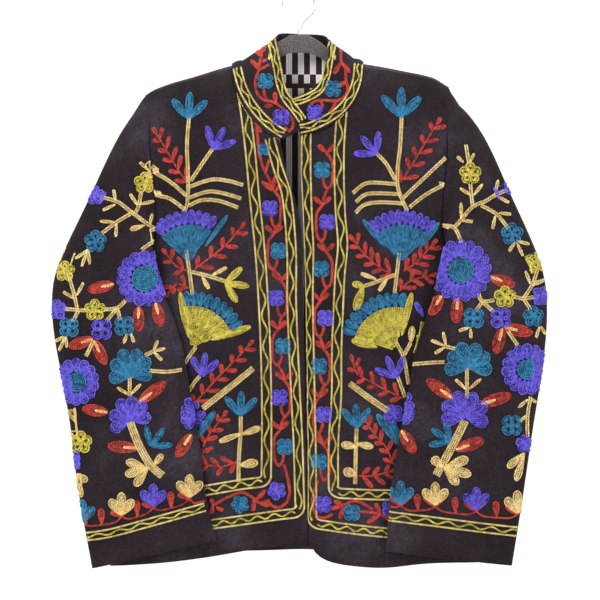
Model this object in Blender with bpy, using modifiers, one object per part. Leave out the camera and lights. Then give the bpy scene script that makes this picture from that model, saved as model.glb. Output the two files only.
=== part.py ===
"""Embroidered velvet jacket with a stand collar, hanging open-fronted on a slim hanger.

Metres, +Z up. The origin is the inside top of the hanger's hook, where it rests on a rod.
The front faces -Y. "left" and "right" in names are the wearer's, so the wearer's right is at -X.
Heights are given as a drop below the origin, as a tailor measures down from a peg.
"""

import math

import bmesh
import bpy
import numpy as np

# Cloth and seams
WALL = 0.0020            # velvet, embroidery backing and lining together
LINING_WALL = 0.0010
LINING_CLEAR = 0.0003    # it keeps this far from the back, whose folds it follows
LINING_SHOULDER = 0.75   # share of the first row by which the lining stops short of a shoulder seam
LINING_NECK = 0.10
SEAM_GAP = 0.0003
HALF_GAP = SEAM_GAP / 2

# Grid of the panels and tubes
ARMHOLE_ROWS = 11        # rows of a panel from shoulder tip to underarm, and half of a sleeve ring
SIDE_ROWS = 8            # rows of a panel from underarm to hem
NECK_STEPS = 6           # steps of a panel's neck edge
COLUMNS = 12             # columns of a panel, from its centre to its side
SLEEVE_RINGS = 18
COLLAR_ROWS = 4

# Torso: half width and the depth of front and back, down from the shoulders
# Columns: drop, half_width, front_depth, back_depth
TORSO = (
    (0.080, 0.222, 0.050, 0.043),
    (0.200, 0.214, 0.051, 0.045),
    (0.350, 0.205, 0.052, 0.046),
    (0.450, 0.212, 0.053, 0.047),
    (0.600, 0.226, 0.055, 0.048),
    (0.730, 0.238, 0.057, 0.049),
)
SIDE_POWER = 2.4         # how squarely the torso's section turns at the sides
SHOULDER_ROUND = 0.130   # drop over which the cloth rounds over the shoulder

# Outlines, each a row for a point: across (x) and drop
# Columns: x, drop
SHOULDER_LINE = (
    (-0.189, 0.133), (-0.161, 0.121), (-0.124, 0.110), (-0.080, 0.0975), (0.0, 0.086),
    (0.079, 0.0955), (0.126, 0.104), (0.166, 0.1135), (0.183, 0.121),
)
NECK_POINT = {-1: (-0.080, 0.0975), 1: (0.079, 0.0955)}
SHOULDER_TIP = {-1: (-0.189, 0.133), 1: (0.183, 0.121)}
NECK_BACK_DROP = 0.118
UNDERARM = {-1: (-0.205, 0.352), 1: (0.205, 0.352)}
ARMHOLE_LINE = {
    -1: (
        (-0.1890, 0.133), (-0.1835, 0.180), (-0.1830, 0.230), (-0.1795, 0.275), (-0.1795, 0.305),
        (-0.1850, 0.332), (-0.2050, 0.352),
    ),
    1: (
        (0.1830, 0.121), (0.1805, 0.160), (0.1825, 0.220), (0.1790, 0.275), (0.1785, 0.305),
        (0.1845, 0.332), (0.2050, 0.352),
    ),
}
FRONT_EDGE = {
    -1: (
        (-0.0205, 0.1915), (-0.0245, 0.210), (-0.0205, 0.225), (-0.0120, 0.242), (0.0008, 0.2825),
        (0.0035, 0.350), (0.0065, 0.445), (0.0080, 0.541), (0.0092, 0.637), (0.0100, 0.693),
    ),
    1: (
        (0.0010, 0.1840), (0.0020, 0.210), (0.0030, 0.225), (0.0040, 0.242), (0.0062, 0.2825),
        (0.0080, 0.350), (0.0100, 0.445), (0.0112, 0.541), (0.0125, 0.637), (0.0112, 0.696),
    ),
}
FRONT_HEM = {
    -1: ((0.0100, 0.693), (-0.0625, 0.7013), (-0.106, 0.709), (-0.154, 0.716), (-0.237, 0.723)),
    1: (
        (0.0112, 0.696), (0.0180, 0.7080), (0.0290, 0.7140), (0.0685, 0.7210), (0.108, 0.7235),
        (0.150, 0.7190), (0.237, 0.7180),
    ),
}
BACK_HEM = {
    -1: ((0.0, 0.704), (-0.120, 0.709), (-0.237, 0.723)),
    1: ((0.0, 0.704), (0.120, 0.709), (0.237, 0.718)),
}

# Soft folds that run down a panel: where they start and end, how far they lean, width and height
# Columns: x, lean, start_drop, full_drop, half_width, height
FRONT_FOLDS = (
    (-0.150, 0.010, 0.200, 0.420, 0.016, -0.0040),
    (-0.112, 0.004, 0.300, 0.620, 0.020, 0.0040),
    (-0.058, -0.006, 0.350, 0.700, 0.018, -0.0035),
    (0.028, 0.004, 0.520, 0.720, 0.016, -0.0055),
    (0.078, 0.010, 0.450, 0.720, 0.034, 0.0120),
    (0.140, -0.006, 0.200, 0.460, 0.016, -0.0040),
)
BACK_FOLDS = (
    (-0.160, 0.020, 0.220, 0.600, 0.018, -0.0070),
    (-0.105, 0.012, 0.260, 0.640, 0.022, 0.0080),
    (-0.045, 0.006, 0.300, 0.680, 0.020, -0.0060),
    (0.020, -0.004, 0.280, 0.660, 0.024, 0.0070),
    (0.075, -0.010, 0.260, 0.640, 0.018, -0.0060),
    (0.118, -0.014, 0.240, 0.620, 0.020, 0.0080),
    (0.165, -0.018, 0.220, 0.600, 0.016, -0.0060),
)

# Sleeves: the outer and inner edge of the flattened tube, down from the armhole
# Columns: outer_x, outer_drop, outer_y, inner_x, inner_drop, inner_y, front_bulge, back_bulge
SLEEVE = {
    -1: (
        (-0.1890, 0.1330, 0.000, -0.2050, 0.3520, 0.000, 0.028, 0.026),
        (-0.1935, 0.1338, 0.000, -0.2085, 0.3525, -0.001, 0.028, 0.026),
        (-0.2060, 0.1560, 0.000, -0.2070, 0.3580, -0.013, 0.028, 0.026),
        (-0.2190, 0.1800, -0.001, -0.1940, 0.3650, -0.027, 0.026, 0.023),
        (-0.2480, 0.2300, -0.002, -0.1750, 0.3780, -0.039, 0.024, 0.017),
        (-0.2780, 0.2950, -0.004, -0.1620, 0.3980, -0.044, 0.023, 0.012),
        (-0.3080, 0.3570, -0.006, -0.1500, 0.4300, -0.047, 0.022, 0.009),
        (-0.3100, 0.4120, -0.008, -0.1420, 0.4650, -0.050, 0.021, 0.007),
        (-0.2995, 0.4750, -0.014, -0.1350, 0.5120, -0.054, 0.021, 0.008),
        (-0.2870, 0.5400, -0.023, -0.1240, 0.5650, -0.057, 0.020, 0.008),
        (-0.2780, 0.6150, -0.033, -0.1180, 0.6250, -0.060, 0.019, 0.008),
        (-0.2580, 0.7245, -0.043, -0.1040, 0.6880, -0.065, 0.018, 0.008),
    ),
    1: (
        (0.1830, 0.1210, 0.000, 0.2050, 0.3520, 0.000, 0.028, 0.026),
        (0.1875, 0.1218, 0.000, 0.2085, 0.3525, -0.001, 0.028, 0.026),
        (0.2010, 0.1450, 0.000, 0.2070, 0.3580, -0.013, 0.028, 0.026),
        (0.2170, 0.1680, -0.001, 0.1940, 0.3650, -0.027, 0.026, 0.023),
        (0.2450, 0.2150, -0.002, 0.1750, 0.3780, -0.039, 0.024, 0.017),
        (0.2760, 0.2830, -0.004, 0.1630, 0.4000, -0.044, 0.023, 0.012),
        (0.3060, 0.3500, -0.006, 0.1500, 0.4300, -0.047, 0.022, 0.009),
        (0.3110, 0.4050, -0.008, 0.1420, 0.4680, -0.050, 0.021, 0.007),
        (0.3045, 0.4750, -0.014, 0.1340, 0.5150, -0.054, 0.021, 0.008),
        (0.2920, 0.5500, -0.023, 0.1240, 0.5620, -0.059, 0.020, 0.008),
        (0.2800, 0.6300, -0.033, 0.1130, 0.6300, -0.064, 0.019, 0.008),
        (0.2650, 0.7210, -0.043, 0.1080, 0.7020, -0.071, 0.018, 0.008),
    ),
}
SLEEVE_BLEND = 0.25      # share of a sleeve over which the armhole's scoop fades out
SLEEVE_CLEAR = 0.0035    # how far a sleeve stays off the torso's cloth
# Soft folds of a sleeve: place along it (0 armhole, 1 cuff) and around it (0 outer edge, 0.25 front,
# 0.5 inner edge, 0.75 back), half length along, half width around, and height
# Columns: along, around, half_length, half_width, height
SLEEVE_FOLDS = (
    (0.20, 0.16, 0.050, 0.09, -0.0035),
    (0.31, 0.12, 0.035, 0.11, 0.0030),
    (0.42, 0.08, 0.035, 0.10, -0.0040),
    (0.55, 0.33, 0.120, 0.06, -0.0025),
    (0.78, 0.18, 0.140, 0.05, 0.0022),
    (0.50, 0.72, 0.100, 0.06, 0.0025),
    (0.80, 0.80, 0.120, 0.05, -0.0020),
)

# Collar: its free edge, a row for a point. Stations count along the neck seam in columns of the panels
# from the wearer's right front edge (0), over the shoulder (6), back (12) and shoulder (18) to 24.
# Columns: station, x, y, drop
COLLAR_TOP = (
    (-2.0, 0.0062, -0.0590, 0.1560),
    (-1.0, -0.0030, -0.0590, 0.1470),
    (0.0, -0.0115, -0.0570, 0.1405),
    (1.0, -0.0140, -0.0530, 0.1340),
    (2.0, -0.0160, -0.0470, 0.1290),
    (3.0, -0.0180, -0.0400, 0.1220),
    (4.0, -0.0200, -0.0310, 0.1080),
    (5.0, -0.0225, -0.0210, 0.0925),
    (6.0, -0.0265, -0.0110, 0.0740),
    (7.0, -0.0290, -0.0010, 0.0620),
    (8.0, -0.0275, 0.0080, 0.0565),
    (9.0, -0.0220, 0.0140, 0.0550),
    (10.5, -0.0110, 0.0190, 0.0550),
    (12.0, 0.0030, 0.0210, 0.0560),
    (13.5, 0.0160, 0.0195, 0.0562),
    (15.0, 0.0270, 0.0145, 0.0570),
    (16.0, 0.0330, 0.0085, 0.0585),
    (17.0, 0.0370, -0.0005, 0.0630),
    (18.0, 0.0380, -0.0105, 0.0730),
    (19.0, 0.0360, -0.0210, 0.0870),
    (20.0, 0.0330, -0.0290, 0.0995),
    (21.0, 0.0295, -0.0360, 0.1110),
    (22.0, 0.0235, -0.0420, 0.1215),
    (23.0, 0.0125, -0.0465, 0.1300),
    (24.0, -0.0080, -0.0490, 0.1375),
)
# The lap, which runs on past the right front edge: its lower edge's across and drop
COLLAR_LAP = ((0.0058, 0.1730), (-0.0040, 0.1825))
LAP_LIFT = 0.0070        # how far the lap stands off the collar's other end
COLLAR_LIFT = 0.0030     # how far the collar's outer face stands off the panels at the seam
COLLAR_OVERLAP = 0.0010  # how far its lower edge reaches past the neck edge
COLLAR_BOW = 0.0050      # how far the band bows out at its middle

# Hanger: half of the bar's outline, and the wire hook
HANGER_THICKNESS = 0.0060
HANGER_EDGE = 0.0015
# Columns: x, top_drop, bottom_drop
HANGER = (
    (0.0000, 0.0575, 0.0800), (0.0120, 0.0585, 0.0805), (0.0260, 0.0665, 0.0860),
    (0.0400, 0.0785, 0.0960), (0.0550, 0.0895, 0.1055), (0.0800, 0.1045, 0.1200),
    (0.1250, 0.1165, 0.1310), (0.1550, 0.1245, 0.1400), (0.1650, 0.1274, 0.1420),
    (0.1700, 0.1315, 0.1400),
)
HOOK_WIRE = 0.0040
HOOK_RADIUS = 0.0200     # centreline of the hook's round
HOOK_STEM_DROP = 0.0572
HOOK_SAMPLES = 14

VELVET = ((0.020, 0.015, 0.022, 1.0), 0.85, 0.0)
LINING = ((0.72, 0.68, 0.62, 1.0), 0.80, 0.0)
FLOCK = ((0.060, 0.055, 0.055, 1.0), 0.90, 0.0)
STEEL = ((0.70, 0.70, 0.72, 1.0), 0.25, 1.0)


def smooth_line(rows):
    """A smooth curve through rows, as a function of the share of its length, 0 to 1."""
    points = np.array(rows, float)
    steps = np.linalg.norm(np.diff(points, axis=0), axis=1)
    knots = np.concatenate([[0.0], np.cumsum(steps)]) / steps.sum()
    return lambda share: hermite(knots, points, share)


def smooth_table(rows):
    """The columns after the first, as a smooth function of the first."""
    table = np.array(rows, float)
    return lambda key: hermite(table[:, 0], table[:, 1:], key)


def hermite(knots, points, key):
    key = np.clip(np.asarray(key, float), knots[0], knots[-1])
    slopes = np.gradient(points, knots, axis=0)
    index = np.clip(np.searchsorted(knots, key, side="right") - 1, 0, len(knots) - 2)
    span = knots[index + 1] - knots[index]
    t = ((key - knots[index]) / span)[..., None]
    span = span[..., None]
    return (
        points[index] * (2 * t**3 - 3 * t**2 + 1)
        + slopes[index] * span * (t**3 - 2 * t**2 + t)
        + points[index + 1] * (3 * t**2 - 2 * t**3)
        + slopes[index + 1] * span * (t**3 - t**2)
    )


def ease(value, start, end):
    t = np.clip((value - start) / (end - start), 0.0, 1.0)
    return t * t * (3 - 2 * t)


torso_size = smooth_table(TORSO)
shoulder_drop = smooth_table(SHOULDER_LINE)


def fold_height(folds, x, drop):
    total = np.zeros_like(x)
    for fold_x, lean, start, full, half_width, height in folds:
        middle = fold_x + lean * ease(drop, start, full)
        total = total + height * ease(drop, start, full) * np.exp(-(((x - middle) / half_width) ** 2))
    return total


def torso_y(x, drop, face):
    """Depth of the torso's cloth: face is -1 on the front and 1 on the back."""
    half_width, front_depth, back_depth = np.moveaxis(torso_size(drop), -1, 0)
    across = np.clip(np.abs(x) / half_width, 0.0, 1.0)
    side = np.sqrt(1 - across**SIDE_POWER)
    below = np.clip((drop - shoulder_drop(x)[..., 0]) / SHOULDER_ROUND, 0.0, 1.0)
    over = np.sqrt(1 - (1 - below) ** 2)
    depth = front_depth if face < 0 else back_depth
    folds = fold_height(FRONT_FOLDS if face < 0 else BACK_FOLDS, x, drop)
    return face * (depth * side * over + folds * side)


def armhole_share(row):
    """Share of the armhole's length at a row: closer together at the tip and the underarm."""
    even = row / ARMHOLE_ROWS
    return even / 2 + (1 - np.cos(math.pi * even)) / 4


def armhole_points(side):
    return smooth_line(ARMHOLE_LINE[side])(armhole_share(np.arange(ARMHOLE_ROWS + 1)))


def side_line(side, hem_drop):
    """The panel's outer boundary: armhole, then side seam, at every row."""
    seam_drop = np.linspace(UNDERARM[side][1], hem_drop, SIDE_ROWS + 1)[1:]
    seam_x = side * torso_size(seam_drop)[:, 0]
    return np.vstack([armhole_points(side), np.column_stack([seam_x, seam_drop])])


def shoulder_line(side, steps):
    x = np.linspace(NECK_POINT[side][0], SHOULDER_TIP[side][0], steps + 1)
    return np.column_stack([x, shoulder_drop(x)[:, 0]])


def front_neck(side):
    """A quarter of an ellipse, from the neck point down to the front edge."""
    neck_x, point_drop = NECK_POINT[side]
    edge_x, edge_drop = FRONT_EDGE[side][0]
    end = math.asin(min(1.0, abs(edge_x / neck_x)))
    depth = (edge_drop - point_drop) / math.cos(end)
    turn = np.linspace(math.pi / 2, end, NECK_STEPS + 1)
    return np.column_stack([neck_x * np.sin(turn), point_drop + depth * np.cos(turn)])


def back_neck(side):
    """A shallow parabola, from the centre back up to the neck point."""
    neck_x, point_drop = NECK_POINT[side]
    across = np.linspace(0, 1, NECK_STEPS + 1)
    return np.column_stack([neck_x * across, NECK_BACK_DROP + (point_drop - NECK_BACK_DROP) * across**2])


def patch(top, hem, centre, side):
    """A grid of (x, drop) filled in between four boundary lines that share their corners."""
    rows, columns = len(side), len(top)
    v = np.linspace(0, 1, rows)[:, None, None]
    lengths = np.concatenate([[0], np.cumsum(np.linalg.norm(np.diff(hem, axis=0), axis=1))])
    u = (lengths / lengths[-1])[None, :, None]
    corners = (
        (1 - u) * (1 - v) * top[0] + u * (1 - v) * top[-1] + (1 - u) * v * hem[0] + u * v * hem[-1]
    )
    assert rows == len(centre) and columns == len(hem)
    return (1 - v) * top + v * hem + (1 - u) * centre[:, None] + u * side[:, None] - corners


def panel_grid(side, face):
    """Rows from shoulder to hem, columns from the centre out to the side, each (x, y, drop)."""
    rows = ARMHOLE_ROWS + SIDE_ROWS
    out = 1 - (1 - np.linspace(0, 1, COLUMNS + 1)) ** 1.25
    hem = smooth_line((FRONT_HEM if face < 0 else BACK_HEM)[side])(out)
    if face < 0:
        edge = smooth_line(FRONT_EDGE[side])(np.linspace(0, 1, rows - NECK_STEPS + 1))
        centre = np.vstack([front_neck(side), edge[1:]])
        top = shoulder_line(side, COLUMNS)
    else:
        top = np.vstack([back_neck(side), shoulder_line(side, COLUMNS - NECK_STEPS)[1:]])
        centre = np.linspace(top[0], hem[0], rows + 1)
    outer = side_line(side, hem[-1, 1])
    hem[-1], outer[0] = outer[-1], top[-1]
    flat = patch(top, hem, centre, outer)
    x, drop = flat[..., 0], flat[..., 1]
    return np.stack([x, torso_y(x, drop, face), drop], axis=-1)


def grid_normals(grid):
    """Unit normals of a grid, which point away from the torso's middle."""
    normal = np.cross(np.gradient(grid, axis=0), np.gradient(grid, axis=1))
    return normal / np.linalg.norm(normal, axis=-1, keepdims=True)


def lofted(name, grid, wall, material, toward=0, around=False, seam_face=0):
    """A wall of cloth that grows inward from a grid of (x, y, drop), its outer face.

    toward is the side that the outer face looks to along y, or 0 for out of a tube.
    seam_face keeps the wall on one side of the seam plane y = 0.
    """
    rows, columns = grid.shape[:2]
    points = (grid * (1, 1, -1)).reshape(-1, 3)
    faces = []
    for row in range(rows - 1):
        for column in range(columns if around else columns - 1):
            i, k = row * columns + column, row * columns + (column + 1) % columns
            faces.append((i, i + columns, k + columns, k))
    mesh = bpy.data.meshes.new(name)
    mesh.from_pydata(points.tolist(), [], faces)
    middle = np.repeat(points.reshape(grid.shape).mean(axis=1), columns, axis=0)
    outside = np.array([(0, toward, 0) if toward else points[f[0]] - middle[f[0]] for f in faces])
    normals = np.array([tuple(polygon.normal) for polygon in mesh.polygons])
    if (normals * outside).sum() < 0:
        mesh.flip_normals()
    sheet = bpy.data.objects.new(name + "_sheet", mesh)
    bpy.context.scene.collection.objects.link(sheet)
    solid = sheet.modifiers.new("wall", "SOLIDIFY")
    solid.thickness = wall
    solid.offset = -1
    bpy.context.view_layer.update()
    graph = bpy.context.evaluated_depsgraph_get()
    made = bpy.data.meshes.new_from_object(sheet.evaluated_get(graph))
    bpy.data.objects.remove(sheet)
    if seam_face:
        for vertex in made.vertices:
            vertex.co.y = seam_face * max(seam_face * vertex.co.y, HALF_GAP)
    return placed(name, made, material)


def placed(name, mesh, material):
    mesh.name = name
    part = bpy.data.objects.new(name, mesh)
    jacket.objects.link(part)
    mesh.materials.clear()
    mesh.materials.append(material)
    mesh.shade_smooth()
    mesh.set_sharp_from_angle(angle=math.radians(40))
    return part


def finish(name, colour, roughness, metallic):
    material = bpy.data.materials.new(name)
    material.use_nodes = True
    shader = material.node_tree.nodes["Principled BSDF"]
    shader.inputs["Base Color"].default_value = colour
    shader.inputs["Roughness"].default_value = roughness
    shader.inputs["Metallic"].default_value = metallic
    return material


def make_fronts(material):
    for side, name in ((-1, "front_right"), (1, "front_left")):
        lofted(name, panel_grid(side, -1), WALL, material, toward=-1, seam_face=-1)


def back_grid():
    return np.hstack([panel_grid(-1, 1)[:, :0:-1], panel_grid(1, 1)])


def make_back(material):
    lofted("back", back_grid(), WALL, material, toward=1, seam_face=1)


def make_lining(material):
    """The lining lies inside the back, moved in from its points, and stops short of every seam."""
    grid = back_grid()
    inward = -grid_normals(grid)
    if (inward[..., 1] > 0).mean() > 0.5:
        inward = -inward
    lining = grid + inward * (WALL + LINING_CLEAR)
    lining = lining[:, 1:-1]
    clear = LINING_NECK + (LINING_SHOULDER - LINING_NECK) * ease(np.abs(lining[0, :, :1]), 0.030, 0.080)
    lining[0] = lining[0] + (lining[1] - lining[0]) * clear
    x, drop = lining[..., 0], lining[..., 2]
    slack = 3.5 - 2.5 * ease(drop - shoulder_drop(x)[..., 0], 0.010, 0.050)
    inner = torso_y(x, drop, 1) - slack * (WALL + LINING_CLEAR)
    lining[..., 1] = np.clip(lining[..., 1], 0.006, np.maximum(inner, 0.006))
    lofted("back_lining", lining, LINING_WALL, material, toward=1)


def sleeve_ring(share, stations):
    """One ring of the sleeve between stations: outer edge, front, inner edge, back."""
    outer_x, outer_drop, outer_y, inner_x, inner_drop, inner_y, front, back = stations(share)
    turn = 2 * math.pi * np.arange(2 * ARMHOLE_ROWS) / (2 * ARMHOLE_ROWS)
    inward = (1 - np.cos(turn)) / 2
    bulge = np.sin(turn)
    x = outer_x + (inner_x - outer_x) * inward
    drop = outer_drop + (inner_drop - outer_drop) * inward
    y = outer_y + (inner_y - outer_y) * inward - np.where(bulge > 0, front, back) * bulge
    around = np.arange(2 * ARMHOLE_ROWS) / (2 * ARMHOLE_ROWS)
    out = np.zeros_like(around)
    for along, place, half_length, half_width, height in SLEEVE_FOLDS:
        away = np.abs(around - place)
        away = np.minimum(away, 1 - away)
        out += height * np.exp(-(((share - along) / half_length) ** 2) - (away / half_width) ** 2)
    return np.column_stack([x, y - out * np.sign(bulge), drop])


def armhole_ring(side):
    """The armhole of both panels as one ring, a seam's gap outside them."""
    half = armhole_points(side)
    front = np.column_stack([half[:, 0], torso_y(half[:, 0], half[:, 1], -1), half[:, 1]])
    back = np.column_stack([half[:, 0], torso_y(half[:, 0], half[:, 1], 1), half[:, 1]])
    front[0, 1] = front[-1, 1] = 0.0
    tangent = np.gradient(half, axis=0)
    tangent /= np.linalg.norm(tangent, axis=1, keepdims=True)
    for line in (front, back):
        line[:, 0] += side * tangent[:, 1] * SEAM_GAP * 2
        line[:, 2] -= side * tangent[:, 0] * SEAM_GAP * 5
    return np.vstack([front, back[-2:0:-1]])


def clear_of_torso(ring, side):
    """Moves a ring's points out of the torso's panels, so that the sleeve lies on them."""
    x, y, drop = ring.T.copy()
    half_width, depth, _ = np.moveaxis(torso_size(drop), -1, 0) + SLEEVE_CLEAR
    line = np.array(ARMHOLE_LINE[side])
    reach = np.interp(drop, line[:, 1], np.abs(line[:, 0])) + SLEEVE_CLEAR
    panel = (drop > UNDERARM[side][1]) | (np.abs(x) < reach)
    for _ in range(6):
        inside = np.abs(x / half_width) ** SIDE_POWER + (y / depth) ** 2
        slope_x = SIDE_POWER * np.abs(x / half_width) ** (SIDE_POWER - 1) / half_width * np.sign(x)
        slope_y = 2 * y / depth**2
        step = panel * np.maximum(1 - inside, 0) / (slope_x**2 + slope_y**2)
        x, y = x + slope_x * step, y + slope_y * step
    over = panel & (np.abs(x) < 0.93 * half_width) & (y < 0)
    y = np.where(over, np.minimum(y, torso_y(x, drop, -1) - SLEEVE_CLEAR), y)
    return np.column_stack([x, y, drop])


def make_sleeves(material):
    for side, name in ((-1, "sleeve_right"), (1, "sleeve_left")):
        table = np.array(SLEEVE[side], float)
        middle = (table[:, :2] + table[:, 3:5]) / 2
        steps = np.linalg.norm(np.diff(middle, axis=0), axis=1)
        knots = np.concatenate([[0.0], np.cumsum(steps)]) / steps.sum()
        shares = np.concatenate([[0], knots[1:3], np.linspace(knots[3], 1, SLEEVE_RINGS - 3)])
        plain = [sleeve_ring(share, lambda key: hermite(knots, table, key)) for share in shares]
        scoop = armhole_ring(side) - plain[0]
        rings = [scoop + plain[0]]
        for share, ring in zip(shares[1:], plain[1:]):
            rings.append(clear_of_torso(ring + scoop * (1 - ease(share, 0.0, SLEEVE_BLEND)), side))
        lofted(name, np.array(rings), WALL, material, around=True)


def neck_seam():
    """The neck edges of all panels as one line of stations, moved out and away from the neck."""
    points, normals = [], []
    for side, face in ((-1, -1), (-1, 1), (1, 1), (1, -1)):
        grid = panel_grid(side, face)
        normal = grid_normals(grid)
        normal *= np.sign((normal[..., 1] * face).mean())
        edge = grid[: NECK_STEPS + 1, 0] if face < 0 else grid[0, : NECK_STEPS + 1]
        out = normal[: NECK_STEPS + 1, 0] if face < 0 else normal[0, : NECK_STEPS + 1]
        if side < 0:
            edge, out = edge[::-1], out[::-1]
        if points:
            normals[-1] = normals[-1] + out[0]
            edge, out = edge[1:], out[1:]
        points.extend(edge)
        normals.extend(out)
    points, normals = np.array(points), np.array(normals)
    normals /= np.linalg.norm(normals, axis=1, keepdims=True)
    away = np.cross(np.gradient(points, axis=0), normals)
    away /= np.linalg.norm(away, axis=1, keepdims=True)
    away *= np.sign((away * (points - points.mean(axis=0))).sum(axis=1))[:, None]
    lift = COLLAR_LIFT + LAP_LIFT * np.interp(np.arange(len(points)), (0, 3), (1, 0))
    return points + normals * lift[:, None] + away * COLLAR_OVERLAP


def make_collar(material):
    """A stand band whose free edge is shorter than its seam, and whose right end laps over its left."""
    lap = np.array([
        (x, torso_y(np.array(x), drop, -1) - COLLAR_LIFT - LAP_LIFT, drop) for x, drop in COLLAR_LAP
    ])
    seam = np.vstack([lap, neck_seam()])
    top = smooth_table(COLLAR_TOP)(np.arange(-len(lap), len(seam) - len(lap)))
    along = np.gradient((seam + top) / 2, axis=0)
    outward = np.cross(along, top - seam)
    outward /= np.linalg.norm(outward, axis=1, keepdims=True)
    outward *= np.sign(-outward[len(lap), 1])
    rise = np.linspace(0, 1, COLLAR_ROWS + 1)
    grid = [
        seam + (top - seam) * r + outward * COLLAR_BOW * math.sin(math.pi * r) for r in rise
    ]
    lofted("collar", np.array(grid), WALL, material)


def make_hanger(material):
    """A flat bar cut to the hanger's outline."""
    half = np.array(HANGER)
    right = [(x, -top) for x, top, _ in half] + [(x, -low) for x, _, low in half[::-1]]
    left = [(-x, z) for x, z in right[::-1] if x > 0]
    curve = bpy.data.curves.new("hanger_bar", "CURVE")
    curve.dimensions = "2D"
    curve.fill_mode = "BOTH"
    curve.extrude = HANGER_THICKNESS / 2 - HANGER_EDGE
    curve.bevel_depth = HANGER_EDGE
    curve.bevel_resolution = 1
    curve.offset = -HANGER_EDGE
    outline = curve.splines.new("POLY")
    points = right + left
    outline.points.add(len(points) - 1)
    for point, (x, z) in zip(outline.points, points):
        point.co = (x, z, 0, 1)
    outline.use_cyclic_u = True
    bar = bpy.data.objects.new("hanger_bar", curve)
    bar.rotation_euler = (math.pi / 2, 0, 0)
    curve.materials.append(material)
    jacket.objects.link(bar)


def make_hook(material):
    """A question mark of wire, whose inside top is the origin."""
    middle = -(HOOK_RADIUS - HOOK_WIRE / 2)
    route = [(0.0, -HOOK_STEM_DROP), (0.0, -0.0500), (0.0040, -0.0420), (0.0110, -0.0345)]
    for step in range(HOOK_SAMPLES + 1):
        angle = math.radians(-35 + 225 * step / HOOK_SAMPLES)
        route.append((HOOK_RADIUS * math.cos(angle), middle + HOOK_RADIUS * math.sin(angle)))
    curve = bpy.data.curves.new("hanger_hook", "CURVE")
    curve.dimensions = "3D"
    curve.bevel_depth = HOOK_WIRE / 2
    curve.bevel_resolution = 2
    curve.use_fill_caps = True
    line = curve.splines.new("POLY")
    line.points.add(len(route) - 1)
    for point, (x, z) in zip(line.points, route):
        point.co = (x, 0, z, 1)
    hook = bpy.data.objects.new("hanger_hook", curve)
    curve.materials.append(material)
    jacket.objects.link(hook)


for old in list(bpy.data.objects):
    bpy.data.objects.remove(old)
jacket = bpy.data.collections.new("jacket")
bpy.context.scene.collection.children.link(jacket)

velvet = finish("velvet", *VELVET)
make_fronts(velvet)
make_back(velvet)
make_lining(finish("lining", *LINING))
make_sleeves(velvet)
make_collar(velvet)
make_hanger(finish("flock", *FLOCK))
make_hook(finish("steel", *STEEL))
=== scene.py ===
# %% [markdown]
# An embroidered velvet jacket hangs on a slim flocked hanger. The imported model
# gives the cut of the jacket as plain solids in metres, with the hook's bearing
# point at the origin, the front towards -Y and +Z up. This lesson gives those
# solids their cloth, and sews the chain-stitch garden onto them.

# %% Load the model and keep its size
import math
import random

import bmesh
import bpy
import numpy as np
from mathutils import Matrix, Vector, noise
from mathutils.bvhtree import BVHTree


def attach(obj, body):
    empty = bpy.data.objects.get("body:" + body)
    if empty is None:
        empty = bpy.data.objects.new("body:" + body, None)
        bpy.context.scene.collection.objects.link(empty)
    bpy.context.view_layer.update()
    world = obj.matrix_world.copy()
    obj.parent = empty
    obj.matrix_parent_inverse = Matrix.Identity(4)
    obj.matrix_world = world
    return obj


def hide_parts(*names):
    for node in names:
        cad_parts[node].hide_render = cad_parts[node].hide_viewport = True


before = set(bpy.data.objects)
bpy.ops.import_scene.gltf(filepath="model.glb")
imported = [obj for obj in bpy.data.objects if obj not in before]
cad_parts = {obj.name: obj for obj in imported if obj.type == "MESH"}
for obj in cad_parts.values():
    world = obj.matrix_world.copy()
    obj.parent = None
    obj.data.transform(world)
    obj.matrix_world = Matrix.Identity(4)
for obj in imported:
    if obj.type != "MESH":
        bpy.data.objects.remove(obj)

bpy.context.view_layer.update()

# %% [markdown]
# The picture shows the jacket square on. A long lens at a distance of several
# metres gives the same flat look, and it keeps the sleeves' edges where the
# picture has them. The picture is 600 points wide. At the size that was taken for
# the jacket it covers 75 cm, so one point is 1.25 mm. The embroidery is placed in
# those points.

# %% Camera
PICTURE_POINT = 0.00125
PICTURE_CENTRE = (300.0, 300.0)
VIEW_MIDDLE_DROP = 0.390
CAMERA_DISTANCE = 7.50
CAMERA_ASIDE = 0.0009
CLOTH_FRONT = -0.020
SENSOR = 36.0
picture_width = 2 * PICTURE_CENTRE[0] * PICTURE_POINT

camera = bpy.data.objects.new("camera", bpy.data.cameras.new("camera"))
bpy.context.scene.collection.objects.link(camera)
camera.location = (CAMERA_ASIDE, -CAMERA_DISTANCE, -VIEW_MIDDLE_DROP)
camera.rotation_euler = (math.pi / 2, 0.0, 0.0)
camera.data.sensor_width = SENSOR
camera.data.lens = SENSOR * (CAMERA_DISTANCE + CLOTH_FRONT) / picture_width
bpy.context.scene.camera = camera
bpy.context.scene.view_settings.view_transform = "Standard"
print("lens", round(camera.data.lens), "mm")

# %% [markdown]
# A product picture of clothes is lit by broad soft lamps. Velvet shows its pile
# only where light comes from the side, so a large key lamp stands high on the
# left, a weaker one fills from the right, and one behind lifts the edges. The
# floor and the wall are one pale sheet, bent where they meet. It is big enough
# that a view from behind has its camera in front of the wall, and as it is too
# far off for the lamps, the paper has a faint glow of its own.

# %% Floor, backdrop and lamps
FLOOR_DROP = 1.30
WALL_BACK = 13.0
STAGE_HALF = 13.0
STAGE_BEND = 0.8
PAPER_GLOW = 0.22


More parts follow.
